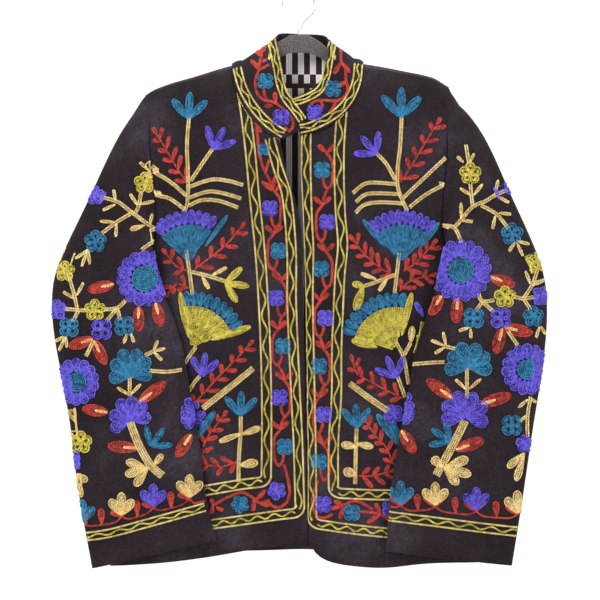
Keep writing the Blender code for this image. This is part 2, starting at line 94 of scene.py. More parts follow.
def pale_sheet():
    mesh = bpy.data.meshes.new("backdrop")
    bm = bmesh.new()
    front = [bm.verts.new((x, -STAGE_HALF, -FLOOR_DROP)) for x in (-STAGE_HALF, STAGE_HALF)]
    edge = bm.edges.new(front)
    moved = bmesh.ops.extrude_edge_only(bm, edges=[edge])["geom"]
    bmesh.ops.translate(bm, vec=(0, STAGE_HALF + WALL_BACK, 0),
                        verts=[v for v in moved if isinstance(v, bmesh.types.BMVert)])
    fold = [e for e in moved if isinstance(e, bmesh.types.BMEdge)
            and all(v.co.y > 0 for v in e.verts)]
    moved = bmesh.ops.extrude_edge_only(bm, edges=fold)["geom"]
    bmesh.ops.translate(bm, vec=(0, 0, STAGE_HALF),
                        verts=[v for v in moved if isinstance(v, bmesh.types.BMVert)])
    bmesh.ops.bevel(bm, geom=fold, offset=STAGE_BEND, segments=12, profile=0.5,
                    affect="EDGES", material=-1)
    bmesh.ops.recalc_face_normals(bm, faces=bm.faces)
    bm.to_mesh(mesh)
    bm.free()
    sheet = bpy.data.objects.new("backdrop", mesh)
    bpy.context.scene.collection.objects.link(sheet)
    for face in mesh.polygons:
        face.use_smooth = True
    material = bpy.data.materials.new("pale_paper")
    material.use_nodes = True
    paper = material.node_tree.nodes["Principled BSDF"]
    paper.inputs["Base Color"].default_value = (0.86, 0.86, 0.86, 1)
    paper.inputs["Roughness"].default_value = 0.9
    paper.inputs["Emission Color"].default_value = (1, 1, 1, 1)
    paper.inputs["Emission Strength"].default_value = PAPER_GLOW
    mesh.materials.append(material)


def lamp(name, place, size, watts):
    light = bpy.data.objects.new(name, bpy.data.lights.new(name, "AREA"))
    light.data.size = size
    light.data.energy = watts
    light.location = place
    aim = Vector((0, 0, -VIEW_MIDDLE_DROP)) - light.location
    light.rotation_euler = aim.to_track_quat("-Z", "Y").to_euler()
    bpy.context.scene.collection.objects.link(light)


pale_sheet()
lamp("key", (-1.5, -2.4, 1.1), 1.2, 70)
lamp("fill", (2.0, -2.2, 0.2), 1.8, 36)
lamp("top", (0.2, 0.4, 1.6), 1.2, 18)
world = bpy.data.worlds.new("studio")
bpy.context.scene.world = world
world.use_nodes = True
world.node_tree.nodes["Background"].inputs["Color"].default_value = (1, 1, 1, 1)
world.node_tree.nodes["Background"].inputs["Strength"].default_value = 0.95

# %% [markdown]
# Velvet is a dense pile of short threads standing on a woven ground. Seen along
# the pile it is nearly black, and where the pile is brushed over or seen from
# the side it turns grey-violet. A sheen layer gives that soft light at the
# edges, slow noise gives the brushed patches, and fine noise gives the pile its
# grain. A photograph of velvet could be laid on instead, but it would carry one
# fixed light with it, and this finish works from every side.

# %% Velvet
def srgb(red, green, blue):
    """A colour as a screen shows it, turned into the linear light of a shader."""
    def linear(value):
        share = value / 255
        return share / 12.92 if share <= 0.04045 else ((share + 0.055) / 1.055) ** 2.4
    return (linear(red), linear(green), linear(blue), 1.0)


def new_material(name):
    material = bpy.data.materials.new(name)
    material.use_nodes = True
    nodes = material.node_tree.nodes
    return material, nodes, material.node_tree.links, nodes["Principled BSDF"]


def noise_node(nodes, links, place, scale, detail=3.0, roughness=0.5):
    node = nodes.new("ShaderNodeTexNoise")
    node.inputs["Scale"].default_value = scale
    node.inputs["Detail"].default_value = detail
    node.inputs["Roughness"].default_value = roughness
    links.new(place, node.inputs["Vector"])
    return node.outputs["Fac"]


def ramp_node(nodes, links, share, stops):
    node = nodes.new("ShaderNodeValToRGB")
    node.color_ramp.elements[0].position, node.color_ramp.elements[0].color = stops[0]
    node.color_ramp.elements[1].position, node.color_ramp.elements[1].color = stops[-1]
    for position, colour in stops[1:-1]:
        node.color_ramp.elements.new(position).color = colour
    links.new(share, node.inputs["Fac"])
    return node.outputs["Color"]


def bump_node(nodes, links, height, distance, strength, shader):
    node = nodes.new("ShaderNodeBump")
    node.inputs["Distance"].default_value = distance
    node.inputs["Strength"].default_value = strength
    links.new(height, node.inputs["Height"])
    links.new(node.outputs["Normal"], shader.inputs["Normal"])
    return node


VELVET_DARK = srgb(24, 17, 20)
VELVET_MID = srgb(32, 25, 30)
VELVET_BRUSHED = srgb(52, 46, 54)


def make_velvet():
    material, nodes, links, shader = new_material("velvet")
    place = nodes.new("ShaderNodeTexCoord").outputs["Object"]
    brushed = noise_node(nodes, links, place, 9.0, 5.0, 0.62)
    tone = ramp_node(nodes, links, brushed, [(0.34, VELVET_DARK), (0.52, VELVET_MID),
                                             (0.74, VELVET_BRUSHED)])
    tufts = noise_node(nodes, links, place, 380.0, 2.0)
    grain = ramp_node(nodes, links, tufts, [(0.32, (0.62,) * 3 + (1.0,)), (0.68, (1.3,) * 3 + (1.0,))])
    mixed = nodes.new("ShaderNodeMix")
    mixed.data_type = "RGBA"
    mixed.blend_type = "MULTIPLY"
    mixed.inputs["Factor"].default_value = 1.0
    links.new(tone, mixed.inputs["A"])
    links.new(grain, mixed.inputs["B"])
    links.new(mixed.outputs["Result"], shader.inputs["Base Color"])
    shader.inputs["Roughness"].default_value = 0.92
    shader.inputs["Specular IOR Level"].default_value = 0.12
    shader.inputs["Sheen Weight"].default_value = 0.16
    shader.inputs["Sheen Roughness"].default_value = 0.35
    shader.inputs["Sheen Tint"].default_value = srgb(176, 160, 178)
    pile = noise_node(nodes, links, place, 900.0, 2.0)
    bump_node(nodes, links, pile, 0.0006, 0.55, shader)
    return material


velvet = make_velvet()
print("velvet ready")

# %% [markdown]
# The lining is a plain striped cotton: bands of undyed thread with fine grey
# lines in them, between bands of brown-black. Stripes run down the body, so they
# follow X. At the back of the neck a narrow strip is set on with its stripes
# moved by half a repeat. Below it a band of plain brown is painted in as the
# shade at the back neck seam. The cloth is woven, which shows close up as
# crossing threads, so a fine wave across and another down give it relief.

# %% Lining
STRIPE_REPEAT = 0.0150
# The shift puts a brown stripe in the gap between the fronts, as painted shade where the inside of the jacket
# is dark. The stripes themselves are the lining's own pattern.
STRIPE_SHIFT = 0.0090
CHECK_TOP = -0.1063
CHECK_FOOT = -0.1175
# The foot of a brown band of painted shade at the back neck seam.
SEAM_SHADE_FOOT = -0.1238
LINING_WHITE = srgb(250, 248, 244)
LINING_GREY = srgb(150, 152, 160)
LINING_BROWN = srgb(58, 42, 40)


def wave_node(nodes, links, place, scale, direction):
    node = nodes.new("ShaderNodeTexWave")
    node.bands_direction = direction
    node.inputs["Scale"].default_value = scale
    links.new(place, node.inputs["Vector"])
    return node.outputs["Fac"]


def math_node(nodes, links, operation, first, second):
    node = nodes.new("ShaderNodeMath")
    node.operation = operation
    for socket, value in zip(node.inputs, (first, second)):
        if isinstance(value, (int, float)):
            socket.default_value = value
        else:
            links.new(value, socket)
    return node.outputs["Value"]


def between(nodes, links, value, low, high):
    over = math_node(nodes, links, "GREATER_THAN", value, low)
    under = math_node(nodes, links, "LESS_THAN", value, high)
    return math_node(nodes, links, "MULTIPLY", over, under)


def make_lining():
    material, nodes, links, shader = new_material("lining")
    place = nodes.new("ShaderNodeTexCoord").outputs["Object"]
    parts = nodes.new("ShaderNodeSeparateXYZ")
    links.new(place, parts.inputs["Vector"])
    band = between(nodes, links, parts.outputs["Z"], CHECK_FOOT, CHECK_TOP)
    aside = math_node(nodes, links, "MULTIPLY", band, STRIPE_REPEAT / 2)
    start = math_node(nodes, links, "ADD", aside, STRIPE_SHIFT)
    moved = math_node(nodes, links, "ADD", parts.outputs["X"], start)
    repeats = math_node(nodes, links, "MULTIPLY", moved, 1 / STRIPE_REPEAT)
    across = math_node(nodes, links, "FRACT", repeats, 0.0)
    stripes = ramp_node(nodes, links, across, [
        (0.00, LINING_BROWN), (0.48, LINING_BROWN), (0.52, LINING_WHITE),
        (0.64, LINING_WHITE), (0.67, LINING_GREY), (0.70, LINING_WHITE),
        (0.81, LINING_WHITE), (0.84, LINING_GREY), (0.87, LINING_WHITE),
        (0.97, LINING_WHITE), (1.00, LINING_BROWN)])
    # Painted shade: plain brown below the neck strip, where the back neck seam lies in shade.
    seam = between(nodes, links, parts.outputs["Z"], SEAM_SHADE_FOOT, CHECK_FOOT)
    mixed = nodes.new("ShaderNodeMix")
    mixed.data_type = "RGBA"
    mixed.inputs["B"].default_value = LINING_BROWN
    links.new(seam, mixed.inputs["Factor"])
    links.new(stripes, mixed.inputs["A"])
    links.new(mixed.outputs["Result"], shader.inputs["Base Color"])
    shader.inputs["Roughness"].default_value = 0.85
    shader.inputs["Specular IOR Level"].default_value = 0.2
    warp = wave_node(nodes, links, place, 420.0, "X")
    weft = wave_node(nodes, links, place, 420.0, "Z")
    threads = math_node(nodes, links, "MULTIPLY", warp, weft)
    bump_node(nodes, links, threads, 0.0003, 0.6, shader)
    return material


lining = make_lining()
print("lining ready")

# %% [markdown]
# An empty velvet jacket keeps a few soft creases. Those on the front were placed
# where a brightened picture seems to show them. The sides that face away
# are hidden, so theirs are a guess at similar ones. Places are in millimetres from
# where the hook bears, across and up. A crease fades in and out along its length,
# and a ridge has a negative depth.

# %% Creases
MILLIMETRE = 0.001
# Columns: piece, wall (-1 front, 1 back), start, end, half width, depth.
CREASES = (
    ("front_right", -1, (-187, -142), (-184, -205), 6, 2.0),
    ("front_right", -1, (-183, -215), (-169, -312), 8, 1.5),
    ("front_right", -1, (-160, -390), (-149, -448), 8, 1.8),
    ("front_right", -1, (-150, -125), (-75, -129), 4, 0.6),
    ("front_left", -1, (177, -128), (178, -158), 5, 1.5),
    ("front_left", -1, (72, -208), (66, -308), 7, -1.5),
    ("front_left", -1, (66, -388), (64, -452), 6, -1.1),
    ("front_left", -1, (131, -394), (124, -434), 6, 1.8),
    ("front_left", -1, (123, -426), (137, -476), 7, 1.5),
    ("front_left", -1, (98, -111), (174, -116), 4, 0.6),
    ("sleeve_right", -1, (-213, -156), (-227, -204), 12, -0.9),
    ("sleeve_right", -1, (-120, -654), (-108, -681), 7, 1.6),
    ("sleeve_left", -1, (181, -161), (226, -182), 5, 1.8),
    ("sleeve_left", -1, (188, -170), (182, -203), 5, -1.3),
    ("sleeve_left", -1, (307, -460), (290, -431), 8, 1.5),
    ("sleeve_right", 1, (-206, -172), (-222, -236), 10, 1.4),
    ("sleeve_right", 1, (-288, -421), (-236, -440), 7, 1.8),
    ("sleeve_left", 1, (209, -168), (231, -214), 8, 1.6),
    ("sleeve_left", 1, (293, -414), (252, -446), 8, 1.5),
    ("sleeve_left", 1, (190, -560), (212, -622), 9, 1.0),
    ("back", 1, (-118, -150), (-104, -282), 10, 1.4),
    ("back", 1, (132, -146), (109, -240), 9, 1.7),
    ("back", 1, (-176, -268), (-139, -384), 9, 1.9),
    ("back", 1, (180, -286), (152, -370), 8, 1.5),
    ("back", 1, (-82, -560), (-95, -662), 11, 1.6),
    ("back", 1, (99, -590), (88, -668), 9, 1.2),
    ("back", 1, (3, -300), (-6, -480), 14, -1.2),
)
CREASE_FADE = 0.6
CREASE_SPREAD = 1.6
SLEEVE_WALL = 0.006
SLEEVE_TOP_MIDDLE = -0.008
SLEEVE_SWING = 0.052


def ease(value, low, high):
    share = min(max((value - low) / (high - low), 0.0), 1.0)
    return share * share * (3 - 2 * share)


def sleeve_middle(height):
    """Where a sleeve's middle is from front to back, at this height."""
    return SLEEVE_TOP_MIDDLE - SLEEVE_SWING * ease(height, -0.20, -0.72)


def soft_fold(node, place):
    """How far the creases of this piece move its cloth at a place."""
    depth = 0.0
    for owner, wall, start, end, half, deep in CREASES:
        if owner != node:
            continue
        share_of_wall = 1.0
        if node.startswith("sleeve"):
            share_of_wall = ease((place.y - sleeve_middle(place.z)) * wall, 0.0, SLEEVE_WALL)
        first = Vector(start) * MILLIMETRE
        line = Vector(end) * MILLIMETRE - first
        away = Vector((place.x, place.z)) - first
        along = min(max(away.dot(line) / line.length_squared, 0.0), 1.0)
        beside_it = (away - line * along).length / (half * MILLIMETRE)
        fade = math.sin(math.pi * along) ** CREASE_FADE
        near = 1 - ease(beside_it, 0.0, CREASE_SPREAD)
        depth -= wall * share_of_wall * fade * deep * MILLIMETRE * near
    return Vector((0.0, depth, 0.0))


# %% [markdown]
# Each cloth solid is a grid of flat facets, which is all that a collision model
# needs. Real cloth bends smoothly and is never quite still, so each solid gets a
# finer copy: its corners are welded, its triangles are paired into squares, and a
# subdivision surface rounds them but keeps the cut edges where they are. Slow
# noise then lifts the cloth by about a millimetre. It depends only on the place,
# so two pieces that meet at a seam move together. Small shifts of single pieces
# then lap their edges over the gaps between the solids. No cloth simulation is run.

# %% Smooth cloth from the solids
WELD = 0.00002
PAIR_ANGLE = math.radians(50)
CUT_EDGE_ANGLE = math.radians(65)
RUMPLE_HEIGHT = 0.0011
RUMPLE_SIZE = 0.034
RIPPLE_HEIGHT = 0.0004
RIPPLE_SIZE = 0.011


def rumple(place):
    broad = noise.noise(place / RUMPLE_SIZE)
    fine = noise.noise(place / RIPPLE_SIZE)
    return Vector((0.0, RUMPLE_HEIGHT * broad + RIPPLE_HEIGHT * fine, 0.0))


RIGHT_TIP = 0.196
LEFT_TIP = 0.184
TIP_DROP = 0.0038
SHOULDER_LIFT = 0.0016
SHOULDER_OUT = 0.0045
COLLAR_LEAN = 0.0030
COLLAR_LAP = 0.0045
SLEEVE_TUCK = 0.0035
SLEEVE_RISE = 0.0008
SIDE_LAP = 0.0010


def settle(place):
    """How the hung cloth differs from its plain cut: full shoulders, a wide neck."""
    across = abs(place.x)
    high = ease(place.z, -0.20, -0.12)
    lift = SHOULDER_LIFT * high * ease(across, 0.03, 0.09) * (1 - ease(across, 0.20, 0.26))
    out = SHOULDER_OUT * ease(place.z, -0.26, -0.17) * ease(across, 0.13, 0.19)
    tip = RIGHT_TIP if place.x < 0 else LEFT_TIP
    lift -= TIP_DROP * high * ease(across, tip - 0.020, tip) * (1 - ease(across, tip, tip + 0.044))
    lean = COLLAR_LEAN * high * ease(-place.x, 0.02, 0.055) * (1 - ease(-place.x, 0.085, 0.15))
    return Vector((math.copysign(out, place.x) - lean, 0.0, lift))


def over_the_seam(place):
    """The collar's back edge laps over the back piece instead of butting on it."""
    share = ease(-place.z, 0.085, 0.116) * ease(place.y, -0.010, 0.010)
    return Vector((0.0, 0.0, -COLLAR_LAP * share))


def under_the_seam(place):
    """The sleeve head's edge is turned in under the body's armhole."""
    share = ease(place.z, -0.20, -0.15) * (1 - ease(abs(place.x), 0.20, 0.24))
    return Vector((-math.copysign(SLEEVE_TUCK * share, place.x), 0.0, SLEEVE_RISE * share))


def under_the_fronts(place):
    """The back's side edges reach under the fronts', so no light comes through."""
    share = ease(-place.z, 0.28, 0.30) * (1 - ease(abs(place.y), 0.004, 0.012))
    return Vector((0.0, -SIDE_LAP * share, 0.0))


def smooth_cloth(node, name, levels):
    bm = bmesh.new()
    bm.from_mesh(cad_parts[node].data)
    bmesh.ops.remove_doubles(bm, verts=bm.verts, dist=WELD)
    bmesh.ops.join_triangles(bm, faces=bm.faces, angle_face_threshold=PAIR_ANGLE,
                             angle_shape_threshold=PAIR_ANGLE)
    crease = bm.edges.layers.float.new("crease_edge")
    for edge in bm.edges:
        edge[crease] = float(edge.calc_face_angle(0.0) > CUT_EDGE_ANGLE)
    base = bpy.data.meshes.new(name)
    bm.to_mesh(base)
    bm.free()
    piece = bpy.data.objects.new(name, base)
    bpy.context.scene.collection.objects.link(piece)
    rounding = piece.modifiers.new("rounding", "SUBSURF")
    rounding.levels = rounding.render_levels = levels
    ready = piece.evaluated_get(bpy.context.evaluated_depsgraph_get())
    piece.data = bpy.data.meshes.new_from_object(ready)
    piece.data.name = name
    piece.modifiers.clear()
    for vertex in piece.data.vertices:
        moved = rumple(vertex.co) + settle(vertex.co) + soft_fold(node, vertex.co)
        if node == "collar":
            moved += over_the_seam(vertex.co)
        if node == "back":
            moved += under_the_fronts(vertex.co)
        if node.startswith("sleeve"):
            moved += under_the_seam(vertex.co)
        vertex.co += moved
    piece.data.shade_smooth()
    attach(piece, "root")
    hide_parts(node)
    return piece


ACROSS_A_SLEEVE = 0.006
FACING_HEIGHT = 0.055
NECK_MIDDLE = Vector((0.0, -0.018, 0.0))
SLEEVE_SEAM_DROP = -0.40
ARMHOLE_ACROSS = 0.15
ARMHOLE_DROP = -0.34
SHOULDER_ACROSS = 0.062
SHOULDER_DROP = -0.165
SIDE_SEAM_HALF = 0.012
SIDE_SEAM_TOP = -0.30
COLLAR_TURN_DROP = -0.074
INWARD = 0.3             # least share of a face's direction that points inwards
UPRIGHT = 0.7            # a steeper face is a sleeve's cut edge


def near_armhole(place):
    """The edge round an armhole and along a shoulder, where velvet is turned in."""
    by_shoulder = abs(place.x) > SHOULDER_ACROSS and place.z > SHOULDER_DROP
    return by_shoulder or (abs(place.x) > ARMHOLE_ACROSS and place.z > ARMHOLE_DROP)


def near_side_seam(place):
    """The strip beside a side seam, where velvet is turned in on both sides."""
    return abs(place.y) < SIDE_SEAM_HALF and place.z < SIDE_SEAM_TOP


def towards_inside(node, face, tree):
    """Whether a face of this cloth looks at the wearer."""
    place, normal = face.center, face.normal
    if node.startswith("sleeve"):
        hit = tree.ray_cast(place + normal * ACROSS_A_SLEEVE, normal)[0]
        return hit is not None and abs(normal.z) < UPRIGHT and place.z < SLEEVE_SEAM_DROP
    if node == "collar":
        away = Vector((place.x - NECK_MIDDLE.x, place.y - NECK_MIDDLE.y, 0.0))
        return away.normalized().dot(normal) < -INWARD and place.z < COLLAR_TURN_DROP
    facing = normal.y if node.startswith("front") else -normal.y
    return facing > INWARD and not near_armhole(place) and not near_side_seam(place)


def dress(piece, node):
    """Velvet outside and striped cotton inside."""
    piece.data.materials.clear()
    piece.data.materials.append(velvet)
    piece.data.materials.append(lining)
    tree = BVHTree.FromPolygons([corner.co for corner in piece.data.vertices],
                                [face.vertices for face in piece.data.polygons])
    for face in piece.data.polygons:
        face.material_index = int(towards_inside(node, face, tree))


ROUNDING_LEVELS = 2
cloth = {}
for node in ("back", "front_right", "front_left", "sleeve_right", "sleeve_left", "collar"):
    cloth[node] = smooth_cloth(node, node + "_velvet", ROUNDING_LEVELS)
    dress(cloth[node], node)
    print(node, len(cloth[node].data.polygons), "squares")
cloth["back_lining"] = smooth_cloth("back_lining", "back_lining_cotton", ROUNDING_LEVELS)
cloth["back_lining"].data.materials.clear()
cloth["back_lining"].data.materials.append(lining)
cloth["back_lining"].data.materials.append(velvet)
hem = min(corner.co.z for corner in cloth["back_lining"].data.vertices)
for face in cloth["back_lining"].data.polygons:
    turned = near_armhole(face.center) or near_side_seam(face.center)
    face.material_index = int(turned or face.center.z < hem + FACING_HEIGHT)

# %% [markdown]
# The hanger is the slim kind with a flocked coat: short grey fibres glued onto
# a hard bar, so that clothes don't slide off. It gets the same grain as velvet
# but finer and duller. The hook is bright bent wire.

# %% Hanger finishes
def make_flock():
    material, nodes, links, shader = new_material("flock")
    place = nodes.new("ShaderNodeTexCoord").outputs["Object"]
    tufts = noise_node(nodes, links, place, 620.0, 3.0)
    tone = ramp_node(nodes, links, tufts, [(0.34, srgb(44, 42, 42)), (0.68, srgb(92, 86, 82))])
    links.new(tone, shader.inputs["Base Color"])
    shader.inputs["Roughness"].default_value = 0.95
    shader.inputs["Sheen Weight"].default_value = 0.4
    bump_node(nodes, links, tufts, 0.0004, 0.6, shader)
    return material


def make_steel():
    material, nodes, links, shader = new_material("steel")
    place = nodes.new("ShaderNodeTexCoord").outputs["Object"]
    marks = noise_node(nodes, links, place, 260.0, 4.0)
    tone = ramp_node(nodes, links, marks, [(0.3, srgb(150, 150, 152)), (0.7, srgb(190, 190, 192))])
    links.new(tone, shader.inputs["Base Color"])
    shader.inputs["Metallic"].default_value = 1.0
    shader.inputs["Roughness"].default_value = 0.28
    return material


for node, material in (("hanger_bar", make_flock()), ("hanger_hook", make_steel())):
    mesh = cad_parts[node].data
    mesh.materials.clear()
    mesh.materials.append(material)
print("hanger finished")

# %% [markdown]
# All the embroidery is chain stitch: a hooked needle pulls loop after loop of
# wool yarn through the velvet, each loop rising inside the one before. Modelled
# as plain tubes it would lose its plaited look, and painted on it would lie flat,
# so every loop is a small ring of its own. One ring is shaped once, from a
# circle that is drawn in twice, with a narrow tail where the next loop holds it.
# The back's loops have one side less, which keeps the model light.

# %% One loop of yarn
NEAR_SIDES = 5
FAR_SIDES = 4
LOOP_RIDGE = 0.60        # the yarn's crown, as a share of the ring
LOOP_HOLE = 0.36
LOOP_TAIL = 0.62


def loop_shape(sides):
    bm = bmesh.new()
    bmesh.ops.create_circle(bm, cap_ends=False, segments=sides, radius=0.5)
    rim = bm.edges[:]
    for share, lift in ((LOOP_RIDGE, 1.0), (LOOP_HOLE / LOOP_RIDGE, -0.75)):
        drawn = bmesh.ops.extrude_edge_only(bm, edges=rim)["geom"]
        corners = [v for v in drawn if isinstance(v, bmesh.types.BMVert)]
        rim = [e for e in drawn if isinstance(e, bmesh.types.BMEdge)
               and all(v in corners for v in e.verts)]
        bmesh.ops.scale(bm, vec=(share, share, 1.0), verts=corners)
        bmesh.ops.translate(bm, vec=(0.0, 0.0, lift), verts=corners)
    for corner in bm.verts:
        if corner.co.y < -0.1:
            corner.co.x *= LOOP_TAIL
    bm.verts.ensure_lookup_table()
    bmesh.ops.recalc_face_normals(bm, faces=bm.faces)
    if sum(face.normal.z for face in bm.faces) < 0:
        bmesh.ops.reverse_faces(bm, faces=bm.faces)
    corners = np.array([tuple(corner.co) for corner in bm.verts])
    faces = np.array([[corner.index for corner in face.verts] for face in bm.faces])
    bm.free()
    return corners, faces


near_loop = loop_shape(NEAR_SIDES)
far_loop = loop_shape(FAR_SIDES)
print("a loop has", len(near_loop[1]), "faces, on the back", len(far_loop[1]))

# %% [markdown]
# The wool is dyed in the hank, so its colour drifts along a line. Each loop also
# has painted shade: its colour is darkened towards the rim, where it sinks into the
# pile, and kept full on its crown. The drift and each loop's height are stored on
# the loops as attributes, so they stay with the yarn. Six colours make the whole
# garden.

# %% Yarn
YARNS = {
    "gold": (srgb(196, 166, 74), srgb(252, 232, 156)),
    "straw": (srgb(200, 164, 92), srgb(252, 228, 158)),
    "violet": (srgb(60, 46, 158), srgb(124, 106, 238)),
    "teal": (srgb(18, 78, 118), srgb(58, 146, 188)),
    "red": (srgb(134, 34, 28), srgb(220, 76, 62)),
    "moss": (srgb(156, 142, 38), srgb(236, 220, 96)),
}
YARN_FIBRE = 1800.0
YARN_SHADOW = 0.26


def make_yarn(colour):
    material, nodes, links, shader = new_material(colour + "_wool")
    place = nodes.new("ShaderNodeTexCoord").outputs["Object"]
    shade = nodes.new("ShaderNodeAttribute")
    shade.attribute_name = "shade"
    lift = nodes.new("ShaderNodeAttribute")
    lift.attribute_name = "lift"
    dark, light = YARNS[colour]
    tone = ramp_node(nodes, links, shade.outputs["Fac"], [(0.0, dark), (1.0, light)])
    # Painted shade: the colour is darkened towards each loop's rim by its height, down to YARN_SHADOW at the
    # rim.
    painted_rim_shade = ramp_node(nodes, links, lift.outputs["Fac"], [
        (0.0, (YARN_SHADOW,) * 3 + (1.0,)), (1.0, (1.0,) * 4)])
    mixed = nodes.new("ShaderNodeMix")
    mixed.data_type = "RGBA"
    mixed.blend_type = "MULTIPLY"
    mixed.inputs["Factor"].default_value = 1.0
    links.new(tone, mixed.inputs["A"])
    links.new(painted_rim_shade, mixed.inputs["B"])
    links.new(mixed.outputs["Result"], shader.inputs["Base Color"])
    shader.inputs["Roughness"].default_value = 0.72
    shader.inputs["Specular IOR Level"].default_value = 0.25
    shader.inputs["Sheen Weight"].default_value = 0.25
    shader.inputs["Sheen Roughness"].default_value = 0.4
    fibre = noise_node(nodes, links, place, YARN_FIBRE, 2.0)
    bump_node(nodes, links, fibre, 0.0002, 0.5, shader)
    return material


yarn = {colour: make_yarn(colour) for colour in YARNS}
print(len(yarn), "yarns ready")

# %% [markdown]
# A design is drawn flat, as it is on a paper pattern, in points of the picture,
# and then laid on the cloth. A straight line of sight is sent through the flat
# pattern onto the one piece of cloth that it belongs to, so it bends over the
# folds and round the sleeves. What runs past an edge slides to the nearest cloth.

# %% Lay the pattern on the cloth
HANGER_TOP_ROW = 32.0
HANGER_TOP_DROP = 0.055
SIGHT_START = 0.5
NEAREST_FROM = 0.05

sights = {
    node: BVHTree.FromPolygons([corner.co for corner in piece.data.vertices],
                               [face.vertices for face in piece.data.polygons])
    for node, piece in cloth.items() if node != "back_lining"
}
GROUNDS = {
    "front_left": ("front_left", -1), "front_right": ("front_right", -1),
    "sleeve_left": ("sleeve_left", -1), "sleeve_right": ("sleeve_right", -1),
    "collar": ("collar", -1), "back": ("back", 1), "collar_back": ("collar", 1),
    "sleeve_left_back": ("sleeve_left", 1), "sleeve_right_back": ("sleeve_right", 1),
}


def flat_place(column, row):
    """Where a point of the picture is, across and up from the hook's bearing."""
    across = (column - PICTURE_CENTRE[0]) * PICTURE_POINT
    drop = HANGER_TOP_DROP + (row - HANGER_TOP_ROW) * PICTURE_POINT
    return across, -drop


def on_cloth(ground, column, row):
    node, side = GROUNDS[ground]
    across, up = flat_place(column, row)
    start = Vector((across, side * SIGHT_START, up))
    place, normal, _, _ = sights[node].ray_cast(start, Vector((0.0, -side, 0.0)))
    if place is None:
        place, normal, _, _ = sights[node].find_nearest(Vector((across, side * NEAREST_FROM, up)))
    if normal.y * side < 0:
        normal = -normal
    return place, normal


# %% [markdown]
# A run of stitches is first cut into even steps along the cloth, not along the
# flat pattern, because a hand sewer's loops stay the same length round a fold.
# Every loop then gets the run's direction, the cloth's own tilt, and a little
# unevenness in size, turn and shade. All the loops of one colour on one piece of
# cloth become one object.

# %% Sew the runs
STITCH_STEP = 0.0034
STITCH_LENGTH = 0.0050
STITCH_WIDTH = 0.0029
STITCH_HEIGHT = 0.0012
STITCH_LIFT = {"red": 0.0001, "straw": 0.0004, "gold": 0.0003, "moss": 0.0006,
               "teal": 0.0007, "violet": 0.0009}
SHORTEST_RUN = 0.0020
UNEVEN = 0.10
SHADE_DRIFT = 0.030
SHADE_SPREAD = 0.45
PATTERN_STEP = 0.8

runs = {}
luck = random.Random(11)


def chain(ground, colour, points):
    """Notes one run of chain stitch, in points of the picture."""
    runs.setdefault((ground, colour), []).append([tuple(point) for point in points])


def even_steps(ground, points):
    """The run's places and tilts, one for each loop and one for its end."""
    places, tilts = [], []
    for (column, row), (next_column, next_row) in zip(points, points[1:]):
        parts = max(1, int(math.hypot(next_column - column, next_row - row) / PATTERN_STEP))
        for part in range(parts):
            share = part / parts
            place, tilt = on_cloth(ground, column + (next_column - column) * share,
                                   row + (next_row - row) * share)
            places.append(place)
            tilts.append(tilt)
    place, tilt = on_cloth(ground, *points[-1])
    places = np.array(places + [place])
    tilts = np.array(tilts + [tilt])
    gone = np.concatenate([[0.0], np.cumsum(np.linalg.norm(np.diff(places, axis=0), axis=1))])
    if gone[-1] < SHORTEST_RUN:
        return None
    steps = np.linspace(0.0, gone[-1], max(1, round(gone[-1] / STITCH_STEP)) + 1)
    even = np.stack([np.interp(steps, gone, places[:, axis]) for axis in range(3)], axis=1)
    tilt = np.stack([np.interp(steps, gone, tilts[:, axis]) for axis in range(3)], axis=1)
    return even, tilt


def loops_of(ground, colour, lines):
    """Middle, along, across, up and shade of every loop of these runs."""
    rows = []
    for points in lines:
        stepped = even_steps(ground, points)
        if stepped is None:
            continue
        even, tilt = stepped
        along = np.diff(even, axis=0)
        length = np.linalg.norm(along, axis=1, keepdims=True)
        along /= np.maximum(length, 1e-9)
        up = tilt[:-1] + tilt[1:]
        up -= (up * along).sum(axis=1, keepdims=True) * along
        up /= np.maximum(np.linalg.norm(up, axis=1, keepdims=True), 1e-9)
        across = np.cross(along, up)
        middle = (even[:-1] + even[1:]) / 2 + up * STITCH_LIFT[colour]
        start = luck.random() * 40
        for loop in range(len(along)):
            drift = noise.noise(Vector((start + middle[loop][0] / SHADE_DRIFT,
                                        start, middle[loop][2] / SHADE_DRIFT)))
            shade = 0.55 + 0.45 * drift + luck.uniform(-SHADE_SPREAD, SHADE_SPREAD)
            grow = 1 + luck.uniform(-UNEVEN, UNEVEN)
            turn = luck.uniform(-UNEVEN, UNEVEN)
            rows.append((middle[loop], along[loop] + across[loop] * turn,
                         (across[loop] - along[loop] * turn) * grow, up[loop] * grow,
                         min(max(shade, 0.0), 1.0)))
    return rows


